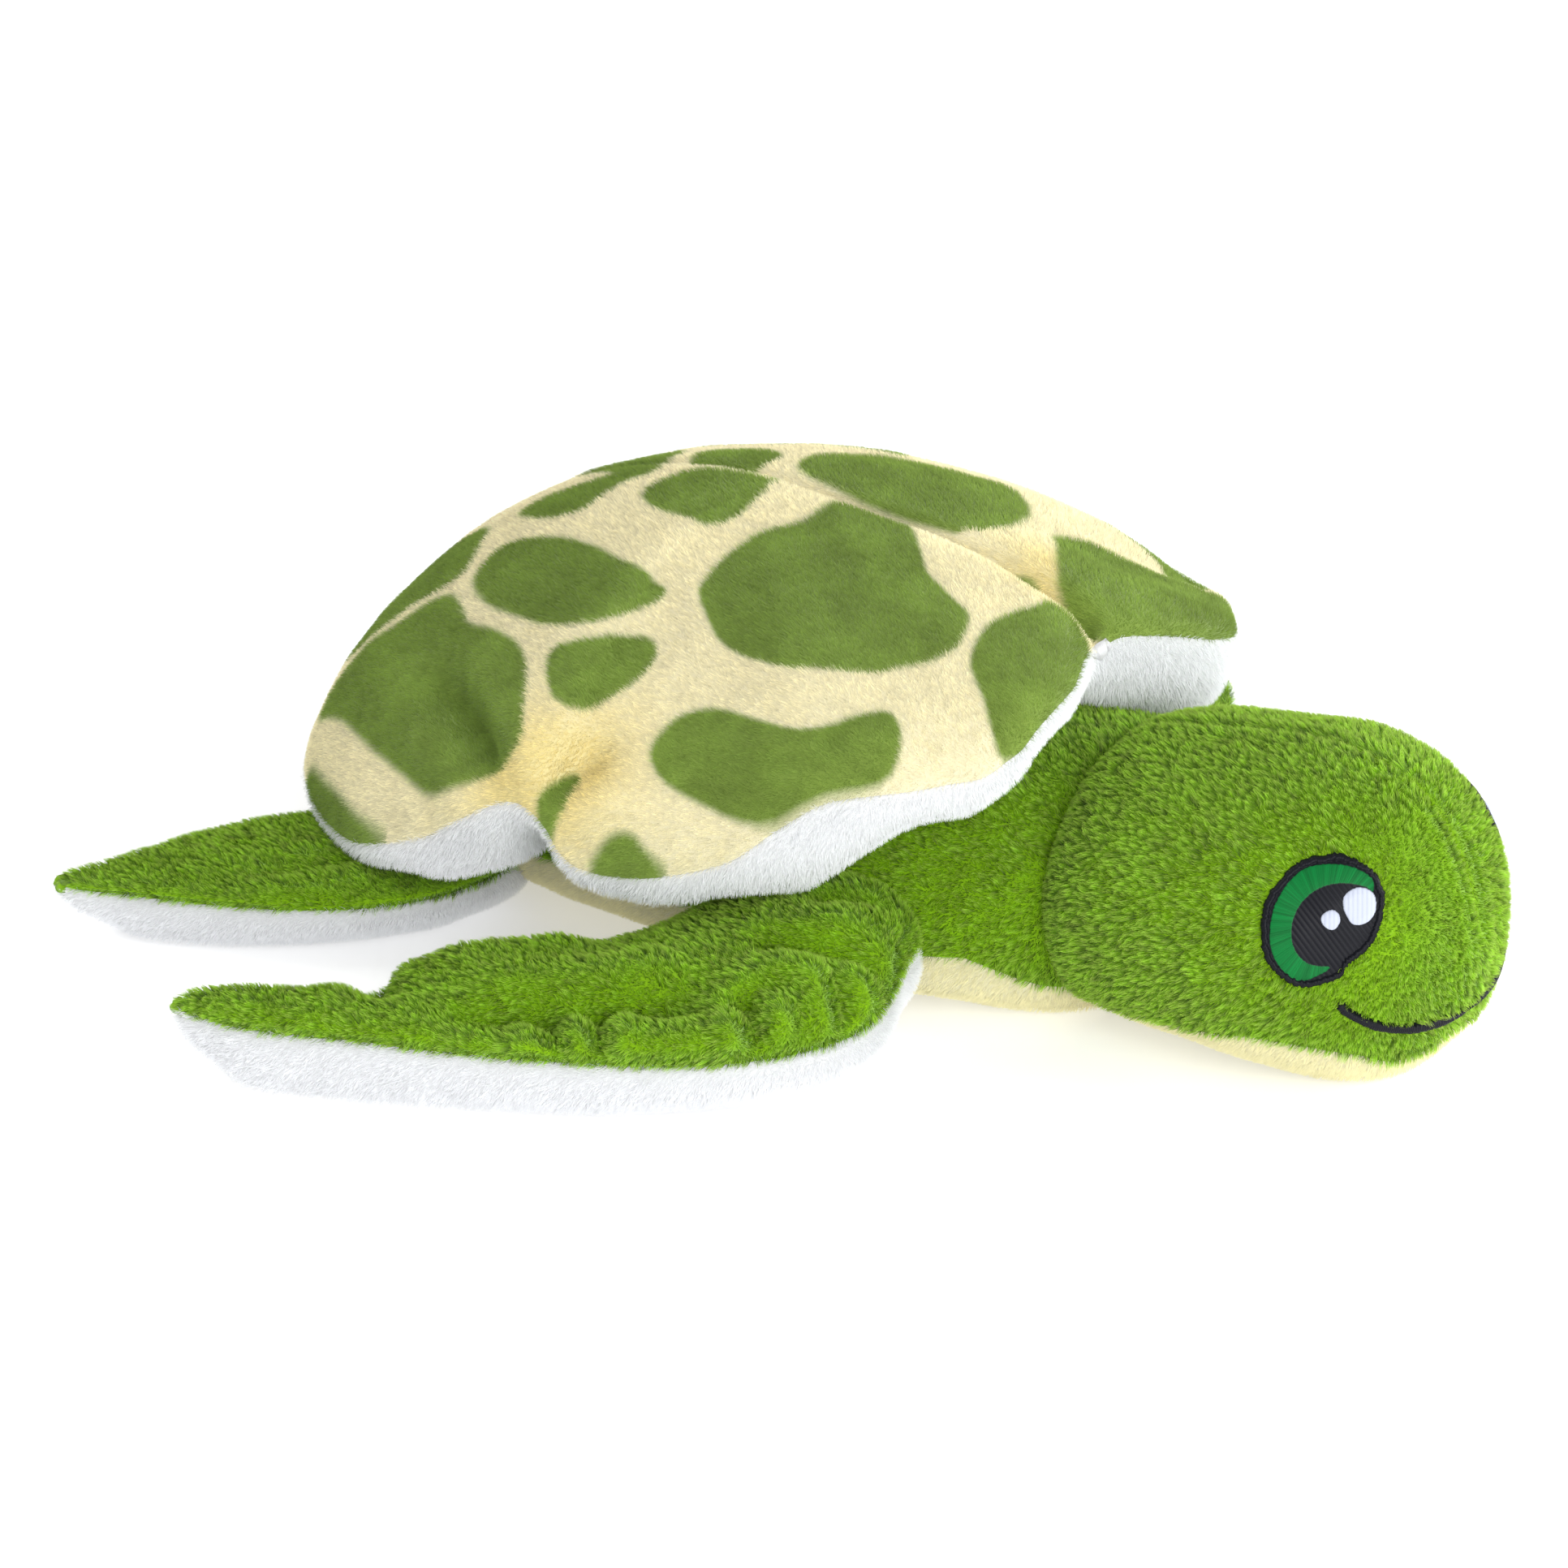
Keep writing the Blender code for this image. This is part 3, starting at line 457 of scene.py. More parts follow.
    node(group, "NodeGroupOutput", {"Geometry": dyed})
    return group


def set_attribute(obj, name, kind, values):
    field = {"FLOAT": "value", "FLOAT_VECTOR": "vector", "FLOAT_COLOR": "color"}[kind]
    made = obj.data.attributes.new(name, kind, "POINT")
    made.data.foreach_set(field, np.asarray(values, np.float32).ravel())


def set_tint(obj, tint, shape):
    colour = np.ones((*shape, 4))
    colour[..., :3] = tint
    set_attribute(obj, "tint", "FLOAT_COLOR", colour)


def dress(obj, cloth, fibre, settings, seed):
    """Gives a panel its cloth and its pile, which is a hair object that follows it."""
    obj.data.materials.append(cloth)
    obj.data.materials.append(cloth)
    thick = obj.modifiers.new("Cloth", "SOLIDIFY")
    thick.thickness = CLOTH
    thick.offset = -1
    thick.use_even_offset = False
    thick.material_offset = 1
    thick.material_offset_rim = 1
    name = f"{obj.name}_pile"
    fur = bpy.data.objects.new(name, bpy.data.hair_curves.new(name))
    bpy.context.scene.collection.objects.link(fur)
    fur.parent = obj.parent
    fur.matrix_parent_inverse = obj.matrix_parent_inverse.copy()
    fur.matrix_basis = obj.matrix_basis.copy()
    grow = fur.modifiers.new("Pile", "NODES")
    grow.node_group = PILE
    values = {key: value * PILE_UNITS.get(key, 1) for key, value in zip(PILE_SETTINGS, settings)}
    values |= {"Cloth": obj, "Seed": seed, "Material": fibre}
    for item in PILE.interface.items_tree:
        if item.in_out == "INPUT" and item.name in values:
            grow[item.identifier] = values[item.name]


PILE = pile_group()


# Forms


def place(forward, side, height, hand=1):
    """A point told in millimetres from the turtle's middle, to its left for a hand of 1."""
    return np.array((hand * side, -forward, height)) * MM


ACROSS = (1, 0, 0)


def displace(grid, move):
    """Moves points along their normals: less on the ground, and less in rows that are small."""
    radius = np.linalg.norm(grid - grid.mean(1, keepdims=True), axis=2).mean(1)
    room = np.clip(radius / (6 * MM), 0, 1) ** 1.5
    share = np.clip(grid[..., 2] / MM / 3, 0, 1) * room[:, None]
    return grid + normals(grid) * (move * share)[..., None]


def settle(grid):
    """Nothing lies below the ground, and what presses on it spreads flat."""
    soft, least = 1.2 * MM, 0.3 * MM
    give = soft - least
    z = grid[..., 2]
    grid[..., 2] = np.where(z < soft, least + give * np.exp((np.minimum(z, soft) - soft) / give), z)


def uneven(grid, seed, large, small, large_size, small_size):
    """How the stuffing moves the cloth: two sizes of bumps, their depths and widths in millimetres."""
    broad, fine = lattice(grid, large_size * MM, seed), lattice(grid, small_size * MM, seed + 1)
    return large * MM * broad + small * MM * fine


# How far the cloth lies inside each form's outline, which is the ends of its pile
BODY_ROOM, HEAD_ROOM, LIMB_ROOM, SHELL_ROOM = 1.2, 1.1, 1.1, 0.9

# Sections across the body, from the tail to the neck: forward, half width, height of the widest
# place, rise above it and drop below it. The head's have how full their lower half is as well.
BODY = (
    (-70, 17.9, 12, 8, 8), (-53, 33.8, 13, 14, 13.4), (-27, 42.8, 13.7, 25, 13.9),
    (6, 47, 14, 32, 14.2), (36, 46, 14.3, 34, 14.5), (55, 40.5, 12.5, 35, 12.7),
    (67, 34.3, 13, 32.6, 14.6), (77, 30.4, 17.5, 28, 19), (85, 19, 22, 17.5, 19),
)
HEAD = (
    (72.5, 23, 25, 18.5, 18, 2.3), (76.5, 30.8, 24.5, 23.8, 22.6, 2.2),
    (83, 34, 24.5, 25.6, 24, 2.2), (92, 34.8, 24.5, 27, 24.4, 2.3),
    (102, 35.5, 24.5, 28.7, 24, 2.5), (116.5, 34.3, 24.5, 30.5, 24.8, 2.8),
    (130, 27.6, 24.5, 26.2, 24.6, 3), (138.6, 18, 24.5, 15.8, 20, 3),
)


# How high the chin's seam lies, by how far forward it is
CHIN_SEAM = (70, 80, 91, 102, 109, 116.5, 123, 130, 135, 140), (8.5, 8, 8.6, 10.4, 12, 13.3, 12.6, 11, 8.6, 8)
HEAD_DART = ((-31.0, -78.0, 13.0), (-30.5, -79.5, 9.0), (-28.5, -81.0, 5.0))


def make_body():
    rings = [ring(place(f, 0, h), ACROSS, w * MM, r * MM, d * MM, 2.6) for f, w, h, r, d in BODY]
    grid = loft(rings, (place(-77, 0, 13), place(90, 0, 23)), 0.9 * MM)
    settle(grid)
    return displace(grid, uneven(grid, 35, 0.4, 0.15, 10, 4) - BODY_ROOM * MM)


def make_head():
    rings = [ring(place(f, 0, h), ACROSS, w * MM, r * MM, d * MM, p) for f, w, h, r, d, p in HEAD]
    grid = loft(rings, (place(69, 0, 25), place(143.2, 0, 24.5)), 0.7 * MM)
    settle(grid)
    # the seam over the middle of the head, with a roll beside it, ends above the mouth
    seam = np.abs(grid[..., 0]) / MM
    above = np.clip((grid[..., 2] / MM - 12) / 6, 0, 1)
    move = -0.7 * np.exp(-((seam / 0.8) ** 2)) + 0.45 * np.exp(-(((seam - 2.6) / 1.8) ** 2))
    move = move * above * MM
    for hand in (1, -1):
        move = move + fold(grid, [(-hand * x, y, z) for x, y, z in HEAD_DART], 1.2, 1.5, 0.4, 0.4)
    move = move + uneven(grid, 33, 0.4, 0.15, 10, 4)
    return displace(grid, move - HEAD_ROOM * MM)


# The shell's rim from the front notch to the tail: forward, side, height, how far the white cloth
# hangs below it and, where it is tucked in, how far
RIM_RIGHT = (
    (67.5, 0, 59, 9), (70, 6.5, 60, 9), (73.5, 15, 59.5, 8), (75, 22.5, 58.5, 6.5),
    (75.3, 29.3, 56.6, 7), (75, 33.4, 54.2, 8), (73.8, 37, 52.7, 8.5), (72.1, 41.3, 51.2, 8.5),
    (68.2, 46.2, 50.7, 8.5), (63.8, 50.8, 50, 9.5), (59.1, 54.7, 49.5, 13),
    (54.1, 58.2, 48.5, 16.5), (50.6, 60.7, 46.5, 17), (45.8, 63.4, 42.5, 14),
    (41, 66.2, 38.2, 10.5), (37.7, 67.4, 36.2, 9), (32.1, 69.6, 34, 8.8), (25.6, 71.5, 32.2, 8),
    (19.1, 72.3, 31, 7), (14.5, 72.9, 31, 6.5), (11.5, 73.2, 31.6, 6), (8.3, 73, 33.5, 5.5, 1),
    (6.1, 72.6, 36, 5.5, 4), (2.9, 72.1, 38.4, 8, 7), (-1.5, 71.6, 39, 13, 6),
    (-6.8, 71.4, 36.8, 15, 3), (-13.4, 70.8, 32.5, 14, 1), (-21, 70.1, 27.2, 12),
    (-28.5, 69, 23.7, 9), (-39.2, 66, 19.6, 7), (-48.5, 61.5, 18, 5), (-58, 54.5, 18, 4),
    (-67, 45.5, 17.8, 4), (-74, 35, 17.5, 4), (-79, 22, 17.5, 4), (-82, 9, 18, 4),
    (-83, 0, 18.5, 4),
)
RIM_LEFT = (
    (67.5, 0, 59, 9), (68.6, 5, 59.3, 11), (72, 13, 57.8, 13.5), (74.6, 21.5, 55.2, 15),
    (75.4, 29, 52.6, 15), (73.5, 35.5, 50.8, 14), (69.5, 42.5, 49.4, 12), (64, 49.5, 47.8, 11),
    (56.5, 56.5, 45, 10), (46, 63.5, 41, 9), (32, 69.5, 35.5, 8.5), (16, 72.5, 32.5, 8),
    (-2, 72, 33, 9), (-20, 69.5, 28.5, 9), (-36, 66, 22, 8), (-50, 59.5, 18.5, 5),
    (-63, 49.5, 18, 4), (-73.5, 35, 17.5, 4), (-80.5, 18, 17.8, 4), (-83, 0, 18.5, 4),
)
SHELL_CENTRE, SHELL_LONG = -4.0, 82.0
SHELL_TOP, SHELL_UNDER = 73.8, 51.5
# How steeply the shell rises from its rim, from its tail at -1 to its front at 1
SLOPES = np.array(((-1.0, 0.68), (-0.5, 0.61), (0.2, 0.56), (1.0, 0.57)))
# The middle seam's distance to the left, by how far forward it is
SHELL_SEAM = (0, 20, 55, 64, 68), (5.0, 4.0, 3.5, 2.5, 0.8)
TOP_ROWS, UNDER_ROWS = 120, 90

# Creases: the points they pass through, depth, width, puff beside them and the share that fades out
SHELL_FOLDS = (
    (
        (
            (-49.8, 38.3, 48.2), (-57.3, 26.4, 47.8), (-63.7, 16.3, 45.9), (-69.2, 7.9, 43.4),
            (-71.7, 0.7, 39.2),
        ),
        4.4, 4, 0.4, 0.4,
    ),
    (
        (
            (-62.1, -15.3, 51.5), (-66.2, -10.8, 47.8), (-68.8, -7.8, 45.3), (-71.3, -5.1, 42),
            (-72.1, -3.4, 39.2),
        ),
        3.4, 4, 0.4, 0.4,
    ),
    (((-60, -52, 55), (-56, -50, 59), (-50, -47, 63)), 1.2, 4.5, 0.3, 0.6),
)


def rim_columns():
    """The rim as AROUND columns, evenly spaced, starting at the front notch and turning to the left."""
    right = [(forward, -side, *rest) for forward, side, *rest in RIM_RIGHT[-2:0:-1]]
    p = np.array([(*row, 0.0)[:5] for row in (*RIM_LEFT, *right)], float)
    n = len(p)
    dense = [
        between(p[k - 1], p[k], p[(k + 1) % n], p[(k + 2) % n], u)
        for k in range(n)
        for u in np.linspace(0, 1, 12, endpoint=False)
    ]
    dense = np.array(dense + dense[:1])
    length = np.concatenate([[0], np.cumsum(np.linalg.norm(np.diff(dense[:, :3], axis=0), axis=1))])
    at = np.linspace(0, length[-1], AROUND, endpoint=False)
    return np.stack([np.interp(at, length, values) for values in dense.T], 1)


def bump(x, middle, width):
    """1 at the middle, falling off smoothly over the width on both sides."""
    return np.exp(-(((x - middle) / width) ** 2))


def make_shell():
    """The shell's grid, the number of its rim row, and each row's share of the way to the rim."""
    forward, x, h, hang, tuck = rim_columns().T
    f = forward - SHELL_CENTRE
    slope = np.interp(f / SHELL_LONG, SLOPES[:, 0], SLOPES[:, 1])[None]
    phi = np.linspace(0, math.pi / 2, TOP_ROWS)[:, None]
    s = np.sin(phi)
    z = h + (SHELL_TOP - h) * np.cos(phi).clip(0) ** (2 * slope)
    ahead, side = s * f + SHELL_CENTRE, s * x
    # the seam down the middle: the right half is puffed up over it
    front = step((ahead + 30) / 95)
    seam = np.interp(ahead, *SHELL_SEAM)
    pull = -(1.2 + 5.5 * front) * bump(side, seam, 1.5 + 1.3 * front)
    pull = pull + 1.6 * front * bump(side, seam - 8.5, 6)
    # the left half is hollowed behind its front lobe
    pull = pull - 4.6 * bump(side, 34, 16) * bump(ahead, 52, 16)
    pull = pull - 3.2 * bump(side, 50, 12) * bump(ahead, 50, 14)
    z = z + pull * np.clip((1 - s) / 0.05, 0.35, 1)
    top = np.stack([side, -ahead, z], 2)
    # below the rim the cloth hangs, and is tucked in where something presses on it
    psi = np.linspace(0, math.pi / 2, UNDER_ROWS)[1:, None]
    s2 = np.cos(psi)
    hung = h * s2**2 + SHELL_UNDER * (1 - s2**2) - hang * s2**2 * np.sqrt(1 - s2**12) / 0.69
    inner = (1 - s2) / 0.12
    keep = s2 - tuck / np.hypot(f, x)[None] * bump(inner, 0.5, 1) * np.clip(inner * 6, 0, 1)
    under = np.stack([keep * x, -(keep * f + SHELL_CENTRE), hung], 2)
    grid = np.concatenate([top, under]) * MM
    move = sum(fold(grid, *crease) for crease in SHELL_FOLDS) + uneven(grid, 31, 0.35, 0.12, 9, 3.5)
    grid = grid + normals(grid) * move[..., None]
    inward = place(SHELL_CENTRE, 0, 46) - grid
    grid = grid + inward / np.linalg.norm(inward, axis=2, keepdims=True) * SHELL_ROOM * MM
    return grid, TOP_ROWS - 1, np.concatenate([s[:, 0], 2 - s2[:, 0]])


# Sections of the flippers: leading and trailing edge of the seam (forward, side, height) and how
# high the top is between them
FRONT_RIGHT = (
    ((60, 36, 17), (22, 36, 15), 27), ((62, 48, 18.5), (21, 47, 14), 28.5),
    ((68, 60, 15), (21, 55, 13), 28), ((66.5, 73, 14), (16.5, 66, 11.5), 25.5),
    ((58, 87, 14), (7, 78.5, 11.3), 24), ((44, 98, 14), (-3.5, 88, 11.3), 22.8),
    ((26, 107, 14), (-12, 93, 12), 21), ((8, 113.5, 14), (-10, 102.5, 12.5), 18.3),
    ((-10, 120, 14), (-16, 107, 12.5), 18.8), ((-22, 124.5, 13.5), (-27, 112, 13), 18),
)
FRONT_LEFT = (
    ((50, 36, 14), (22, 36, 14), 21), ((50, 48, 12.5), (21, 47, 12.5), 18.5),
    ((49.5, 60, 12), (20, 55, 12), 17.5), ((48.5, 73, 12), (15, 66, 12), 18.5),
    ((45, 86, 12.5), (6, 77, 12), 20), ((37, 96, 13.5), (-5, 87, 12), 21),
    ((24, 105.5, 14), (-12, 93, 12), 21), ((7, 113, 14), (-11, 101.5, 13), 20),
    ((-10, 119, 14), (-17, 106.5, 13), 19), ((-22, 123.5, 13.5), (-28, 112, 13), 18),
)
HIND = (
    ((-22, 34, 12), (-50, 30, 12), 16), ((-22, 46, 11.5), (-58, 40, 11), 17),
    ((-24, 57, 11), (-66, 48, 10.5), 16.6), ((-31, 69, 11), (-73, 55, 10), 15.8),
    ((-43, 79, 11), (-78.5, 64, 10), 15), ((-56, 84.5, 11), (-79, 72, 10.5), 14.4),
    ((-69, 90, 11), (-81.5, 80, 10.5), 14),
)


# Creases in the flippers' tops, like the shell's, but told in plan on the right side
FRONT_FOLDS = (
    (((-98, 3), (-92, -4), (-84, -12), (-76, -22)), -2.8, 6, 0, 0.3),
    (((-90, 18), (-97, 11), (-103, 5), (-108, -3)), 3.6, 3.2, 0.2, 0.3),
    (
        (
            (-108.7, -5.3), (-106.3, -13.4), (-101.8, -23.1), (-96.1, -31.9), (-89.4, -39.9),
            (-81.1, -45.1), (-71.3, -45.4),
        ),
        4.6, 4.2, 0.4, 0.3,
    ),
    (((-98, -22.5), (-102.4, -30.4), (-104.5, -36.2)), 2.6, 2.1, 0.6, 0.35),
    (((-94, -31.5), (-99.1, -36.8), (-102.5, -40.5)), 2.6, 2, 0.6, 0.35),
    (((-78, -49.5), (-82.9, -55.4), (-86.5, -61)), 2.5, 2.1, 0.6, 0.35),
    (
        ((-95.5, -38.5), (-89.7, -44.9), (-83.6, -51.7), (-76.7, -54.8), (-68.4, -57)),
        2.2, 2.5, 0.4, 0.3,
    ),
    (((-64, -56.5), (-69.2, -64.5), (-72.2, -70)), 2.3, 2.1, 0.6, 0.35),
    (((-71.6, -44.5), (-66, -48.8), (-63, -55), (-60.5, -61), (-60, -67.7)), 3, 3, 0.4, 0.25),
    (((-55.3, -44.7), (-49.5, -49.1), (-44.5, -55), (-41.4, -58.6)), 2, 2.8, 0.3, 0.3),
)
HIND_FOLDS = (
    (((-46, 34), (-58, 40), (-72, 50), (-82, 60)), 1.5, 3, 0.3, 0.4),
    (((-70, 30), (-76, 40), (-84, 52)), 0.8, 2, 0.3, 0.5),
)


def make_limb(sections, root, tip, low, hand, creases, seed):
    """A flipper's surface through its sections, with how full its underside is, and its creases."""
    rings = []
    for lead, trail, crown in sections:
        a, b = place(*lead, hand), place(*trail, hand)
        middle, across = (a + b) / 2, (a - b) / 2
        half, seam = np.linalg.norm(across), middle[2]
        rings.append(ring(middle, across / half, half, crown * MM - seam, seam - 0.2 * MM, low, 2.2))
    grid = loft(rings, (place(*root, hand), place(*tip, hand)), 0.7 * MM)
    settle(grid)
    # all of a crease shows in the top and it ends at the seam
    above = step(np.sin(np.arange(AROUND) / AROUND * math.tau) / 0.35)[None]
    plan = grid[..., :2]
    move = above * sum(fold(plan, [(-hand * x, y) for x, y in line], *rest) for line, *rest in creases)
    move = move + uneven(grid, seed, 0.35, 0.15, 8, 3.5)
    beside = np.minimum(seam_distance(grid, 0), seam_distance(grid, AROUND // 2)) / MM
    return displace(grid, move - (0.7 * bump(beside, 0, 1.2) + LIMB_ROOM) * MM)


# Colours


def linear(*screen):
    """A scene colour by its eight-bit screen values."""
    return np.array([v / 255 / 12.92 if v <= 10 else ((v / 255 + 0.055) / 1.055) ** 2.4 for v in screen])


GREEN = linear(147, 200, 26)
# Painted sheen: the pale colour that the green fibres turn to towards their tips
PAINTED_SHEEN = linear(206, 222, 112)
PATCH = linear(142, 168, 76)
CREAM = linear(253, 246, 212)
# Painted shade: the yellower cream of the shell's hollows
SHADE_YELLOW = linear(250, 232, 150)
WHITE = linear(247, 248, 250)
BELLY = linear(246, 241, 204)

BACKING = cloth_material("plush backing")
PALE_FIBRES = pile_material("pale pile", 0.9, 1.03, 0.05)
# Each slot's fibres and their settings, in the order of PILE_SETTINGS
PILES = {
    "green_plush": (
        pile_material("green pile", 0.34, 1.3, 0.2, 0.5, PAINTED_SHEEN, 0.55),
        (11, 1.6, 0.04, 0.78, 0.55, 1.15, 0.6, 0.16, 0.62, 0.8),
    ),
    "printed_plush": (
        pile_material("printed pile", 0.75, 1.15, 0.12),
        (10, 1.1, 0.035, 0.75, 0.5, 1.0, 0.3, 0.25, 0.3, 0.24),
    ),
    "white_plush": (PALE_FIBRES, (9, 1.4, 0.038, 0.8, 0.4, 1.4, 0.35, 0.25, 0.3, 0.06)),
    "cream_plush": (PALE_FIBRES, (9, 1.1, 0.038, 0.8, 0.5, 1.2, 0.3, 0.25, 0.3, 0.12)),
}
# Ways that pile is combed: to the tail and a little down, and down
BACK = np.array((0, 1.0, -0.3))
DOWN = np.array((0, 0.3, -1.0))

# Patches of the shell's print. A point's distance from the origin is its share of the way from the
# shell's centre to its rim, and its turn is how far round the rim it lies, from the front to the left.
PATCHES = (
    ((0.136, -0.473), (0.138, -0.411), (0.139, -0.32), (0.165, -0.219), (0.219, -0.117), (0.259, 0),
     (0.29, 0.045), (0.394, 0.05), (0.467, 0.035), (0.551, -0.148), (0.578, -0.171), (0.65, -0.211),
     (0.703, -0.228), (0.712, -0.28), (0.703, -0.343), (0.674, -0.397), (0.64, -0.448), (0.61, -0.502),
     (0.532, -0.561), (0.45, -0.597), (0.346, -0.6), (0.262, -0.588), (0.208, -0.543)),
    ((-0.194, -0.154), (-0.202, -0.094), (-0.19, -0.049), (-0.169, 0.02), (-0.07, 0.025),
     (0.018, 0.03), (0.075, 0.03), (0.069, 0), (0.078, -0.071), (0.083, -0.178), (0.052, -0.256),
     (-0.011, -0.261), (-0.118, -0.218)),
    ((-0.471, -0.439), (-0.484, -0.358), (-0.469, -0.305), (-0.419, -0.299), (-0.321, -0.31),
     (-0.22, -0.36), (-0.102, -0.458), (0.004, -0.492), (0.087, -0.496), (0.06, -0.567),
     (-0.006, -0.644), (-0.066, -0.69), (-0.162, -0.674), (-0.286, -0.599), (-0.375, -0.536)),
    ((-0.88, -0.44), (-0.84, -0.39), (-0.776, -0.395), (-0.648, -0.437), (-0.576, -0.418),
     (-0.512, -0.438), (-0.444, -0.52), (-0.413, -0.568), (-0.319, -0.626), (-0.222, -0.705),
     (-0.148, -0.8), (-0.094, -0.896), (-0.066, -0.944), (-0.11, -0.966), (-0.162, -0.967),
     (-0.238, -0.956), (-0.344, -0.921), (-0.442, -0.85), (-0.568, -0.74), (-0.709, -0.606)),
    ((-0.125, -0.746), (-0.051, -0.728), (0.035, -0.663), (0.115, -0.623), (0.15, -0.677),
     (0.13, -0.736), (0.096, -0.784), (0.066, -0.833), (-0.023, -0.877), (-0.08, -0.832)),
    ((0.227, -0.847), (0.242, -0.792), (0.273, -0.75), (0.344, -0.72), (0.441, -0.719), (0.535, -0.71),
     (0.597, -0.675), (0.641, -0.608), (0.677, -0.558), (0.713, -0.577), (0.737, -0.618),
     (0.74, -0.666), (0.688, -0.725), (0.608, -0.793), (0.537, -0.843), (0.451, -0.867),
     (0.354, -0.877), (0.276, -0.875)),
    ((0.741, -0.354), (0.74, -0.299), (0.757, -0.224), (0.797, -0.162), (0.856, -0.113), (0.9, -0.03),
     (1.02, -0.05), (1.02, -0.215), (0.98, -0.295), (0.945, -0.381), (0.9, -0.444), (0.879, -0.477),
     (0.851, -0.462), (0.808, -0.412), (0.773, -0.385)),
    ((-0.017, -0.996), (-0.009, -0.985), (0.041, -0.949), (0.073, -0.925), (0.09, -0.933),
     (0.075, -0.955), (0.076, -0.972), (0.061, -0.989), (0.052, -1), (0.017, -1.01)),
    ((0.15, -0.992), (0.172, -0.978), (0.203, -0.956), (0.247, -0.945), (0.283, -0.95),
     (0.345, -0.942), (0.27, -0.985)),
    ((-0.835, -0.55), (-0.806, -0.575), (-0.74, -0.654), (-0.645, -0.742), (-0.582, -0.801),
     (-0.52, -0.849), (-0.469, -0.883), (-0.57, -0.9), (-0.72, -0.81), (-0.85, -0.68), (-0.9, -0.58)),
    ((-0.566, -0.173), (-0.52, -0.325), (-0.529, -0.384), (-0.652, -0.4), (-0.757, -0.385),
     (-0.85, -0.34), (-0.93, -0.25), (-0.9, -0.1), (-0.8, -0.04), (-0.68, -0.06)),
    ((-0.534, -0.128), (-0.499, -0.07), (-0.444, -0.039), (-0.373, -0.016), (-0.296, 0.039),
     (-0.244, 0.047), (-0.248, -0.009), (-0.268, -0.055), (-0.289, -0.147), (-0.302, -0.22),
     (-0.366, -0.233), (-0.448, -0.204)),
    ((-0.2, 0.055), (-0.23, 0.15), (-0.19, 0.25), (-0.1, 0.27), (-0.03, 0.2), (-0.03, 0.06),
     (-0.12, 0.05)),
    ((0.03, 0.14), (0, 0.28), (0.03, 0.4), (0.1, 0.47), (0.22, 0.5), (0.36, 0.48), (0.46, 0.38),
     (0.5, 0.25), (0.535, 0.095), (0.438, 0.085), (0.328, 0.08), (0.208, 0.085), (0.088, 0.1)),
    ((0.556, 0.283), (0.535, 0.36), (0.56, 0.46), (0.66, 0.56), (0.8, 0.6), (0.93, 0.54),
     (1.03, 0.4), (1.03, 0.208), (1.02, 0.07), (0.98, 0.022), (0.927, 0.035), (0.875, 0.055),
     (0.783, 0.1)),
    ((0.662, 0.052), (0.681, 0.065), (0.734, 0.084), (0.787, 0.069), (0.737, 0.058)),
)
# Painted shade: where the print's ground is painted yellower, in the hollows of the shell: x, y and height
SHADED_HOLLOWS = ((-66, -9, 46), (-70, 2, 41), (9, -55, 66))
# These patches of the right side are on the left as well, out of the photograph's sight
MIRRORED = (2, 3, 4, 5, 8, 9, 10, 11)


def inside(points, polygon, reach=0.2):
    """Signed distance to a polygon's outline, positive inside. Beyond the reach it is left at that."""
    p = np.asarray(polygon, float)
    close = ((points > p.min(0) - reach) & (points < p.max(0) + reach)).all(-1)
    out = np.full(points.shape[:-1], -float(reach))
    if close.any():
        out[close] = signed(points[close], p)
    return out


def signed(points, polygon):
    """Signed distance to a polygon's outline, by how many of its edges lie to one side."""
    closed = np.concatenate([polygon, polygon[:1]])
    d, _ = near(points, closed)
    x, y = points[..., 0], points[..., 1]
    odd = np.zeros(points.shape[:-1], bool)
    for (ax, ay), (bx, by) in zip(closed, closed[1:]):
        if ay == by:
            continue
        odd ^= ((ay > y) != (by > y)) & (x < (bx - ax) * (y - ay) / (by - ay) + ax)
    return np.where(odd, d, -d)


def rounded(polygon, times=2):
    """The polygon with its corners cut, so that its outline runs smooth."""
    p = np.array(polygon, float)
    for _ in range(times):
        after = np.roll(p, -1, 0)
        p = np.stack([p * 0.75 + after * 0.25, p * 0.25 + after * 0.75], 1).reshape(-1, 2)
    return p


# Embroidery

# The eye is drawn in millimetres on a plane that touches the head's right side: along the head and up.
EYE_AT = np.array((-26.5, -127.7, 35.0)) * MM
EYE_OUT = np.array((-0.772, -0.541, 0.335))
EYE_LINE = 1.05
EYE = (
    (2.77, 11.04), (5.02, 10), (7.09, 8.96), (8.65, 7.4), (9.52, 5.67), (9.97, 3.94), (9.69, 1.87),
    (9.24, -0.21), (8.65, -2.28), (7.61, -4.01), (6.06, -5.4), (4.33, -6.61), (3.53, -7.65),
    (3.29, -8.69), (2.25, -9.38), (0.17, -10.07), (-2.25, -10.76), (-3.98, -10.59), (-6.06, -9.55),
    (-7.79, -8.17), (-9, -6.44), (-9.79, -4.36), (-10.03, -1.94), (-9.86, 0.48), (-9.52, 2.56),
    (-8.65, 4.64), (-7.27, 6.37), (-5.71, 8.1), (-3.81, 9.48), (-1.56, 10.35), (0.87, 10.69),
)
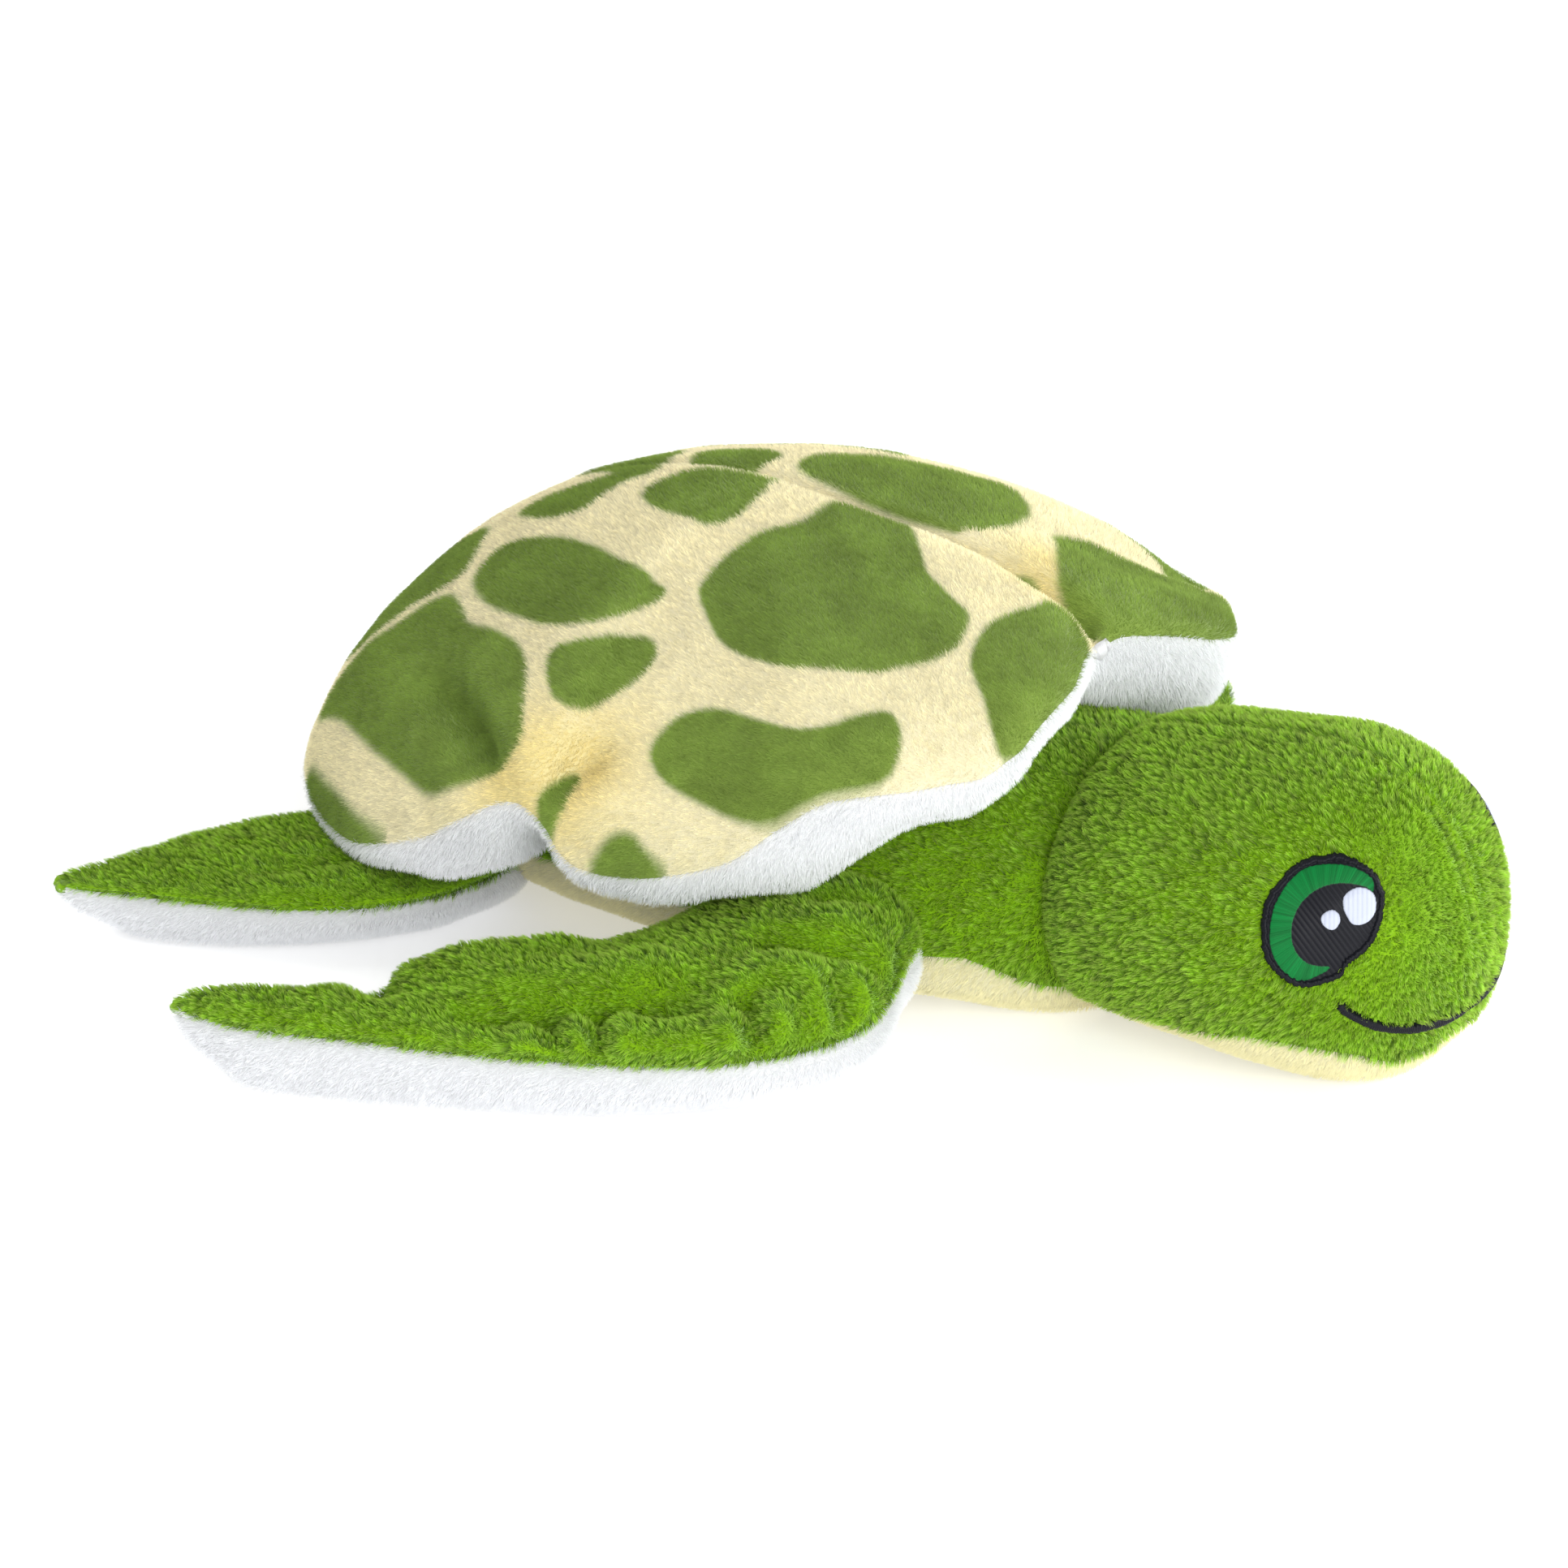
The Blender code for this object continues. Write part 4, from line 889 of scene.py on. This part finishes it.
IRIS = (
    (8.06, 6.78), (6.75, 7.82), (5.02, 8.62), (3.29, 9.07), (1.21, 9.2), (-0.87, 9.07), (-2.77, 8.62),
    (-4.33, 7.58), (-5.88, 6.02), (-7.09, 4.12), (-8.06, 2.21), (-8.48, -0.21), (-8.65, -2.63),
    (-8.3, -4.71), (-7.61, -6.44), (-6.4, -7.99), (-5.02, -9.27), (-3.81, -9.62), (-2.25, -9.38),
    (-0.87, -8.69), (0.52, -7.99), (1.21, -7.2), (-0.52, -7.2), (-2.25, -6.85), (-3.46, -6.09),
    (-4.5, -4.71), (-5.09, -3.32), (-5.26, -1.59), (-5.02, 0.31), (-4.33, 2.04), (-3.29, 3.53),
    (-1.9, 4.81), (-0.17, 5.74), (1.73, 6.19), (3.63, 6.26), (5.36, 6.02), (7.09, 5.5), (8.06, 4.46),
)
GLINT = (
    (2.94, 3.94), (3.98, 4.98), (5.36, 5.61), (7.09, 5.33), (8.13, 4.46), (8.55, 2.91), (8.3, 1.35),
    (7.27, -0.03), (5.71, -0.55), (4.5, -0.38), (3.81, 0.66), (3.11, 2.04),
)
SMALL_GLINT = (
    (-0.59, 0.83), (0.17, 1.7), (1.38, 2.11), (2.32, 1.52), (2.66, 0.48), (2.32, -0.55), (1.56, -1.31),
    (0.52, -1.07), (-0.35, -0.21),
)
# The mouth's right half, from its corner to the middle of the face
MOUTH = (
    (-26.4, -131.0, 20.9), (-25.6, -131.9, 19.4), (-23.4, -133.8, 17.5), (-19.8, -136.4, 15.2),
    (-14.8, -138.9, 13.4), (-9.1, -140.9, 12.4), (-4.0, -141.7, 11.8), (0.0, -142.0, 11.6),
)
# How far the last points of the embroidery go down into the cloth
SUNK = -0.3
# Turns the right side's points into the left side's
ACROSS_THE_FACE = np.array((-1, 1, 1))
INK = linear(12, 13, 20)
IRIS_GREEN = linear(0, 102, 44)
PEARL = linear(182, 188, 204)


def eye_axes():
    along = np.cross((0, 0, 1), EYE_OUT)
    along /= np.linalg.norm(along)
    return along, np.cross(EYE_OUT, along)


def eye_coordinates(points):
    """Where points lie in the eye's drawing, in millimetres, and how far out of its plane."""
    along, up = eye_axes()
    p = (points - EYE_AT) / MM
    return np.stack([p @ along, p @ up], -1), p @ EYE_OUT


def on_surface(tree, points, out):
    """Points moved along a direction onto the surface."""
    found = []
    for p in points:
        hit, _, _, _ = tree.ray_cast(Vector(p + out * 0.02), Vector(-out))
        found.append(p if hit is None else np.array(hit))
    return np.array(found)


def thread_material():
    material, tree, inputs = new_material("satin stitch", 0.45, 0.15)
    tree.links.new(attribute(tree, "tint", "Color"), inputs["Base Color"])
    return material


def stitched(name, grid, tint, nodes, closed, material):
    obj = panel_mesh(name, grid, closed)
    set_tint(obj, tint, grid.shape[:2])
    finish_mesh(obj, place(110, 0, 25))
    obj.data.materials.append(material)
    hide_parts(*nodes)
    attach(obj, "head")
    return obj


def ribs(x):
    """Threads side by side, one for each whole x: 0 between them and 1 along their middles."""
    return np.abs(np.sin(x * math.pi)) ** 0.6


def make_eyes(tree, material):
    """Satin stitch: a raised line round the eye, a green iris, a black pupil and two glints."""
    along, up = eye_axes()
    columns, rows, stitches = 480, 96, 150
    outline = rounded(EYE, 1)
    turn = np.arctan2(outline[:, 1], outline[:, 0])
    order = np.argsort(turn)
    angle = np.arange(columns) / columns * math.tau - math.pi
    reach = np.interp(angle, turn[order], np.hypot(*outline.T)[order], period=math.tau)
    # stitches end unevenly, and each takes the dye a little differently
    rng = np.random.default_rng(5)
    stitch = np.arange(columns) * stitches // columns
    reach = reach + rng.uniform(-0.16, 0.16, stitches)[stitch]
    dye = rng.uniform(0.8, 1.2, stitches)[stitch][None, :, None]
    share = np.concatenate([np.linspace(0, 1, rows), [1.0]])[:, None]
    a, b = share * reach * np.cos(angle), share * reach * np.sin(angle)
    flat = np.stack([a, b], -1)
    edge = (1 - share) * reach
    line = edge < EYE_LINE
    iris = inside(flat, rounded(IRIS, 1), 2) > 0
    glint = np.maximum(inside(flat, rounded(GLINT), 2), inside(flat, rounded(SMALL_GLINT), 2))
    pearl = glint > 0
    radial = ribs(angle / math.tau * stitches)[None]
    diagonal = ribs((a * 0.8 + b * 0.6) / 0.8)
    upright = ribs(a / 0.76)
    # the line and the glints are raised, and the last row goes down into the cloth
    round_line = np.sqrt(np.sin(math.pi * np.clip(edge / EYE_LINE, 0.02, 0.98)))
    height = np.where(iris, 0.6 + 0.1 * radial, 0.55 + 0.1 * diagonal)
    height = np.where(line, 0.55 + 0.5 * round_line + 0.1 * radial, height)
    height = np.where(pearl, 0.75 + 0.35 * np.sqrt(np.clip(glint, 0, 1)) + 0.1 * upright, height)
    height[-1] = SUNK
    # the threads are painted darker between them and lighter along their middles: painted shade and painted sheen of
    # the stitches
    tint = INK * (0.8 + 0.4 * diagonal[..., None])
    tint = np.where((iris & ~line)[..., None], IRIS_GREEN * dye, tint)
    tint = np.where(pearl[..., None], PEARL * (0.88 + 0.12 * upright[..., None]), tint)
    base = EYE_AT + (a[..., None] * along + b[..., None] * up) * MM
    seat = on_surface(tree, base.reshape(-1, 3), EYE_OUT).reshape(base.shape)
    grid = seat + EYE_OUT * height[..., None] * MM
    stitched("eye_right_stitches", grid, tint, ("eye_right",), True, material)
    stitched("eye_left_stitches", grid * ACROSS_THE_FACE, tint, ("eye_left",), True, material)


def mouth_line():
    """The whole mouth's points, from the right corner to the left."""
    line = np.array(MOUTH)
    return np.concatenate([line, line[-2::-1] * ACROSS_THE_FACE]) * MM


def make_mouth(tree, material):
    """One band of satin stitch, a little thicker in its middle."""
    half = curve_through(MOUTH, 24)
    line = np.concatenate([half, half[-2::-1] * ACROSS_THE_FACE]) * MM
    length = np.concatenate([[0], np.cumsum(np.linalg.norm(np.diff(line, axis=0), axis=1))])
    at = np.linspace(0, length[-1], int(length[-1] / (0.09 * MM)))
    line = np.stack([np.interp(at, length, values) for values in line.T], 1)

    def unit(vectors):
        return vectors / np.linalg.norm(vectors, axis=1, keepdims=True)

    way = unit(np.gradient(line, axis=0))
    out = unit(line - place(112, 0, 24))
    across = unit(np.cross(out, way))
    stitch = at / (0.42 * MM)
    rng = np.random.default_rng(8)
    ends = rng.uniform(-0.12, 0.12, int(stitch[-1]) + 2)[stitch.astype(int)]
    from_end = np.minimum(at, length[-1] - at) / MM
    # each side panel was stitched before they were sewn together, so the line thins out at the seam
    from_seam = np.abs(at - length[-1] / 2) / MM
    half = (0.1 + 0.66 * step(from_seam / 8)) * np.clip(from_end / 0.5, 0.4, 1) + ends
    wide = np.linspace(-1, 1, 13)
    flat = line[:, None] + across[:, None] * (half[:, None] * wide * MM)[..., None]
    seat = np.array([on_surface(tree, row, direction) for row, direction in zip(flat, out)])
    ridge = ribs(stitch)
    height = (0.35 + 0.75 * np.sqrt(np.clip(1 - wide**2, 0, 1)))[None] + 0.1 * ridge[:, None]
    height[:, (0, -1)] = SUNK
    height[(0, -1), :] = SUNK
    grid = seat + out[:, None] * height[..., None] * MM
    # the threads are painted darker between them and lighter along their middles: painted shade and painted sheen of
    # the stitches
    tint = np.broadcast_to(INK, grid.shape) * (0.8 + 0.4 * ridge[:, None, None])
    stitched("mouth_stitches", grid, tint, ("mouth",), False, material)


def clear_of_stitches(part):
    """Cover, nap and comb of the head's pile: none under the embroidery, and pressed away beside it."""
    cover = np.ones(part.shape[:2])
    nap = np.ones(part.shape[:2])
    comb = np.broadcast_to(BACK, part.shape).copy()
    along, up = eye_axes()
    for side in (1, ACROSS_THE_FACE):
        flat, depth = eye_coordinates(part * side)
        # the head's far side lies under the drawing's plane too, so it is left out
        d = np.where(depth > -14, inside(flat, rounded(EYE, 1), 4.0), -4.0)
        cover = np.where(d > 0.25, 0.0, cover)
        nap = np.minimum(nap, 0.9 + 0.1 * step((-d - 0.1) / 2.6))
        away = (flat[..., :1] * along + flat[..., 1:] * up) * side
        away /= np.maximum(np.linalg.norm(away, axis=2, keepdims=True), 1e-6)
        comb += away * (0.7 * step((d + 2.6) / 2.6) * (d > -3.9))[..., None]
    d = near(part, mouth_line())[0] / MM
    cover = np.where(d < 0.75, 0.0, cover)
    return cover, np.minimum(nap, 0.6 + 0.4 * step((d - 0.8) / 2.2)), comb


# Panels


def panel(name, part, nodes, body, slot, tint, comb, seed, closed=False, cover=1.0, nap=1.0, core=None):
    """One cloth panel: a grid of rows with its tint, the way its pile is combed, and its bodies."""
    obj = panel_mesh(name, part, closed)
    shape = part.shape[:2]
    set_tint(obj, tint, shape)
    set_attribute(obj, "comb", "FLOAT_VECTOR", np.broadcast_to(comb, part.shape))
    set_attribute(obj, "cover", "FLOAT", np.broadcast_to(cover, shape))
    set_attribute(obj, "nap", "FLOAT", np.broadcast_to(nap, shape))
    finish_mesh(obj, part.mean((0, 1)) if core is None else core)
    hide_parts(*nodes)
    if isinstance(body, tuple):
        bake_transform(obj)
    else:
        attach(obj, body)
    dress(obj, BACKING, *PILES[slot], seed)


def mottle(points, amount, size, seed):
    """A little lighter and darker from place to place."""
    return 1 + amount * lattice(points, size * MM, seed)[..., None]


def pressed(part):
    """Less pile where the cloth presses on the ground."""
    return np.clip((part[..., 2] / MM - 0.6) / 1.5, 0.12, 1)


def share_below(row, level):
    """How much of one side of a row, in turns, lies below this height."""
    return (row[AROUND // 2 :, 2] <= level).sum() / AROUND / 2


# How high the seam between the back and the belly lies under the neck, by how far forward it is
NECK_SEAM = (56, 64, 70, 76, 85), (16.0, 15.0, 12.5, 9.5, 7.0)


def build_body():
    body = make_body()
    forward = -body[..., 1].mean(1) / MM
    neck = np.interp(forward, *NECK_SEAM) * MM
    levels = np.where(forward > NECK_SEAM[0][0], neck, body[:, 0, 2])
    low = np.array([share_below(row, level) for row, level in zip(body, levels)])
    part = cut(body, -0.25 + low, 0.75 - low, 360)
    panel(
        "body_back_cloth", part, ("body_back", "body_stuffing", "neck_stuffing"), "body", "green_plush",
        GREEN * mottle(part, 0.08, 6, 1), BACK, 11,
    )
    part = cut(body, 0.75 - low, 0.75 + low, 300)
    panel(
        "belly_cloth", part, ("belly",), "body", "cream_plush",
        BELLY * mottle(part, 0.03, 6, 2), BACK, 12, cover=pressed(part),
    )


def build_shell():
    shell, rim, shares = make_shell()
    core = place(SHELL_CENTRE, 0, 62)
    part = shell[: rim + 1]
    turn = np.arange(AROUND) / AROUND * math.tau
    flat = shares[: rim + 1, None, None] * np.stack([np.cos(turn), np.sin(turn)], 1)
    mask = np.zeros(part.shape[:2])
    for patch in (*PATCHES, *([(x, -y) for x, y in PATCHES[k]] for k in MIRRORED)):
        mask = np.maximum(mask, np.clip(0.5 + inside(flat, rounded(patch, 1)) / 0.009, 0, 1))
    mask = mask[..., None]
    # painted shade: the cream ground turns yellower in the shell's hollows
    hollow_shade = sum(np.exp(-((np.linalg.norm(part / MM - np.array(spot), axis=2) / 11) ** 2)) for spot in SHADED_HOLLOWS)
    hollow_shade = np.clip(hollow_shade, 0, 1)[..., None] * 0.6
    ground = (CREAM * (1 - hollow_shade) + SHADE_YELLOW * hollow_shade) * mottle(part, 0.03, 7, 3)
    printed = PATCH * mottle(part, 0.12, 3, 4) * mottle(part, 0.12, 9, 7)
    panel(
        "shell_top_cloth", part, ("shell_top", "shell_stuffing"), "body", "printed_plush",
        ground * (1 - mask) + printed * mask, BACK, 13, closed=True, core=core,
    )
    panel(
        "shell_underside_cloth", shell[rim:], ("shell_underside",), "body", "white_plush",
        WHITE, DOWN, 14, closed=True, core=core,
    )


def build_head():
    head = make_head()
    forward = -head[..., 1].mean(1) / MM
    # how far up the sides the cream chin comes, in turns from the bottom
    levels = np.interp(forward, *CHIN_SEAM) * MM
    chin = np.array([share_below(row, level) for row, level in zip(head, levels)])
    chin = chin * np.clip((140 - forward) / 8, 0, 1) ** 0.5
    for side, end, nodes, seed in (
        ("left", -0.25 + chin, ("head_left", "head_stuffing"), 15),
        ("right", 0.75 - chin, ("head_right",), 16),
    ):
        part = cut(head, 0.25, end, 260)
        cover, nap, comb = clear_of_stitches(part)
        panel(
            f"head_{side}_cloth", part, nodes, "head", "green_plush",
            GREEN * mottle(part, 0.08, 6, 5), comb, seed, cover=cover, nap=nap,
        )
    part = cut(head, 0.75 - chin, 0.75 + chin, 90)
    panel("head_chin_cloth", part, ("head_chin",), "head", "cream_plush", BELLY, BACK, 17, cover=pressed(part))
    # the embroidery lies on the face, the part of the head ahead of this
    face = head[forward > 100]
    corner = np.arange(AROUND)
    after = np.roll(corner, -1)
    faces = [
        (k * AROUND + i, k * AROUND + j, (k + 1) * AROUND + j, (k + 1) * AROUND + i)
        for k in range(len(face) - 1)
        for i, j in zip(corner, after)
    ]
    skin = BVHTree.FromPolygons(face.reshape(-1, 3).tolist(), faces)
    thread = thread_material()
    make_eyes(skin, thread)
    make_mouth(skin, thread)


# Where each flipper's surface starts and ends, two points near its root, which nothing uses, the way
# its pile is combed, how full its underside is, and its seed
FRONT = (40, 28, 14), (-38, 121, 13), (40, 43, 10), (40, 60, 10), (-0.8, 0.6, 0), 2.8, 41
REAR = (-36, 26, 12), (-88, 95, 10.5), (-36, 38, 10), (-44, 52, 10), (-0.7, 0.7, 0), 2.6, 43


def build_flipper(name, hand, sections, creases, sizes):
    root, tip, start, end, way, low, seed = sizes
    limb = make_limb(sections, root, tip, low, hand, creases, seed)
    joint = ("body", name, place(*start, hand), place(*end, hand))
    comb = place(*way, hand) / MM
    part = cut(limb, 0.0, 0.5, 150)
    panel(
        f"{name}_top_cloth", part, (f"{name}_top", f"{name}_stuffing"), joint, "green_plush",
        GREEN * mottle(part, 0.08, 6, 6), comb, 20,
    )
    part = cut(limb, 0.5, 1.0, 130)
    panel(
        f"{name}_underside_cloth", part, (f"{name}_underside",), joint, "white_plush",
        WHITE, comb, 21, cover=pressed(part),
    )


def build():
    build_body()
    build_shell()
    build_head()
    for hand, side, front in ((1, "left", FRONT_LEFT), (-1, "right", FRONT_RIGHT)):
        build_flipper(f"front_flipper_{side}", hand, front, FRONT_FOLDS, FRONT)
        build_flipper(f"hind_flipper_{side}", hand, HIND, HIND_FOLDS, REAR)


# Stage


def stage():
    corners = [(-4, -4, 0), (4, -4, 0), (4, 4, 0), (-4, 4, 0)]
    mesh = bpy.data.meshes.new("floor")
    mesh.from_pydata(corners, [], [(0, 1, 2, 3)])
    floor = bpy.data.objects.new("floor", mesh)
    bpy.context.scene.collection.objects.link(floor)
    material, _, inputs = new_material("floor", 0.9, 0.5)
    inputs["Base Color"].default_value = (0.9, 0.9, 0.9, 1)
    inputs["Emission Color"].default_value = (1, 1, 1, 1)
    inputs["Emission Strength"].default_value = 0.35
    mesh.materials.append(material)

    # the camera sees white, and the object is lit by less
    world = bpy.data.worlds.new("studio")
    bpy.context.scene.world = world
    world.use_nodes = True
    tree = world.node_tree
    seen = node(tree, "ShaderNodeLightPath").outputs["Is Camera Ray"]
    strength = node(tree, "ShaderNodeMix", {"Factor": seen, "A": 0.58, "B": 1.0}, data_type="FLOAT")
    background = tree.nodes["Background"].inputs
    background["Color"].default_value = (1, 1, 1, 1)
    tree.links.new(strength.outputs["Result"], background["Strength"])

    for name, spot, size, power in (
        ("key", (-0.7, -1.05, 0.5), 0.8, 15.0),
        ("fill", (0.95, -0.8, 0.45), 0.7, 13.0),
        ("rim", (-0.3, 0.8, 1.0), 0.9, 5.0),
    ):
        light = bpy.data.lights.new(name, "AREA")
        light.shape = "SQUARE"
        light.size = size
        light.energy = power
        lamp = bpy.data.objects.new(name, light)
        lamp.location = spot
        aim = Vector((0, 0, 0.03)) - Vector(spot)
        lamp.rotation_euler = aim.to_track_quat("-Z", "Y").to_euler()
        bpy.context.scene.collection.objects.link(lamp)


# The photograph: its width, and the pixel at which the turtle's middle stands on the floor
IMAGE_WIDTH = 1932
MIDDLE_X, MIDDLE_Y = 945, 1075
PIXELS_PER_MM = 7.0
CAMERA_TURN, CAMERA_RISE, CAMERA_DISTANCE = math.radians(-55), math.radians(24), 1.1
SENSOR_WIDTH = 36


def camera():
    """At the photograph's angle: 55 degrees round to the turtle's right and 24 degrees up."""
    level = math.cos(CAMERA_RISE)
    back = Vector((math.sin(CAMERA_TURN) * level, -math.cos(CAMERA_TURN) * level, math.sin(CAMERA_RISE)))
    right = Vector((math.cos(CAMERA_TURN), math.sin(CAMERA_TURN), 0))
    up = back.cross(right)
    pixel = MM / PIXELS_PER_MM
    aim = right * ((IMAGE_WIDTH / 2 - MIDDLE_X) * pixel) + up * ((MIDDLE_Y - IMAGE_WIDTH / 2) * pixel)
    data = bpy.data.cameras.new("camera")
    data.sensor_width = SENSOR_WIDTH
    data.lens = SENSOR_WIDTH * CAMERA_DISTANCE / (IMAGE_WIDTH * pixel)
    data.clip_start = 0.01
    cam = bpy.data.objects.new("camera", data)
    facing = Matrix((right, up, back)).transposed().to_4x4()
    cam.matrix_world = Matrix.Translation(aim + back * CAMERA_DISTANCE) @ facing
    bpy.context.scene.collection.objects.link(cam)
    bpy.context.scene.camera = cam
    bpy.context.scene.view_settings.view_transform = "Standard"


build()
stage()
camera()
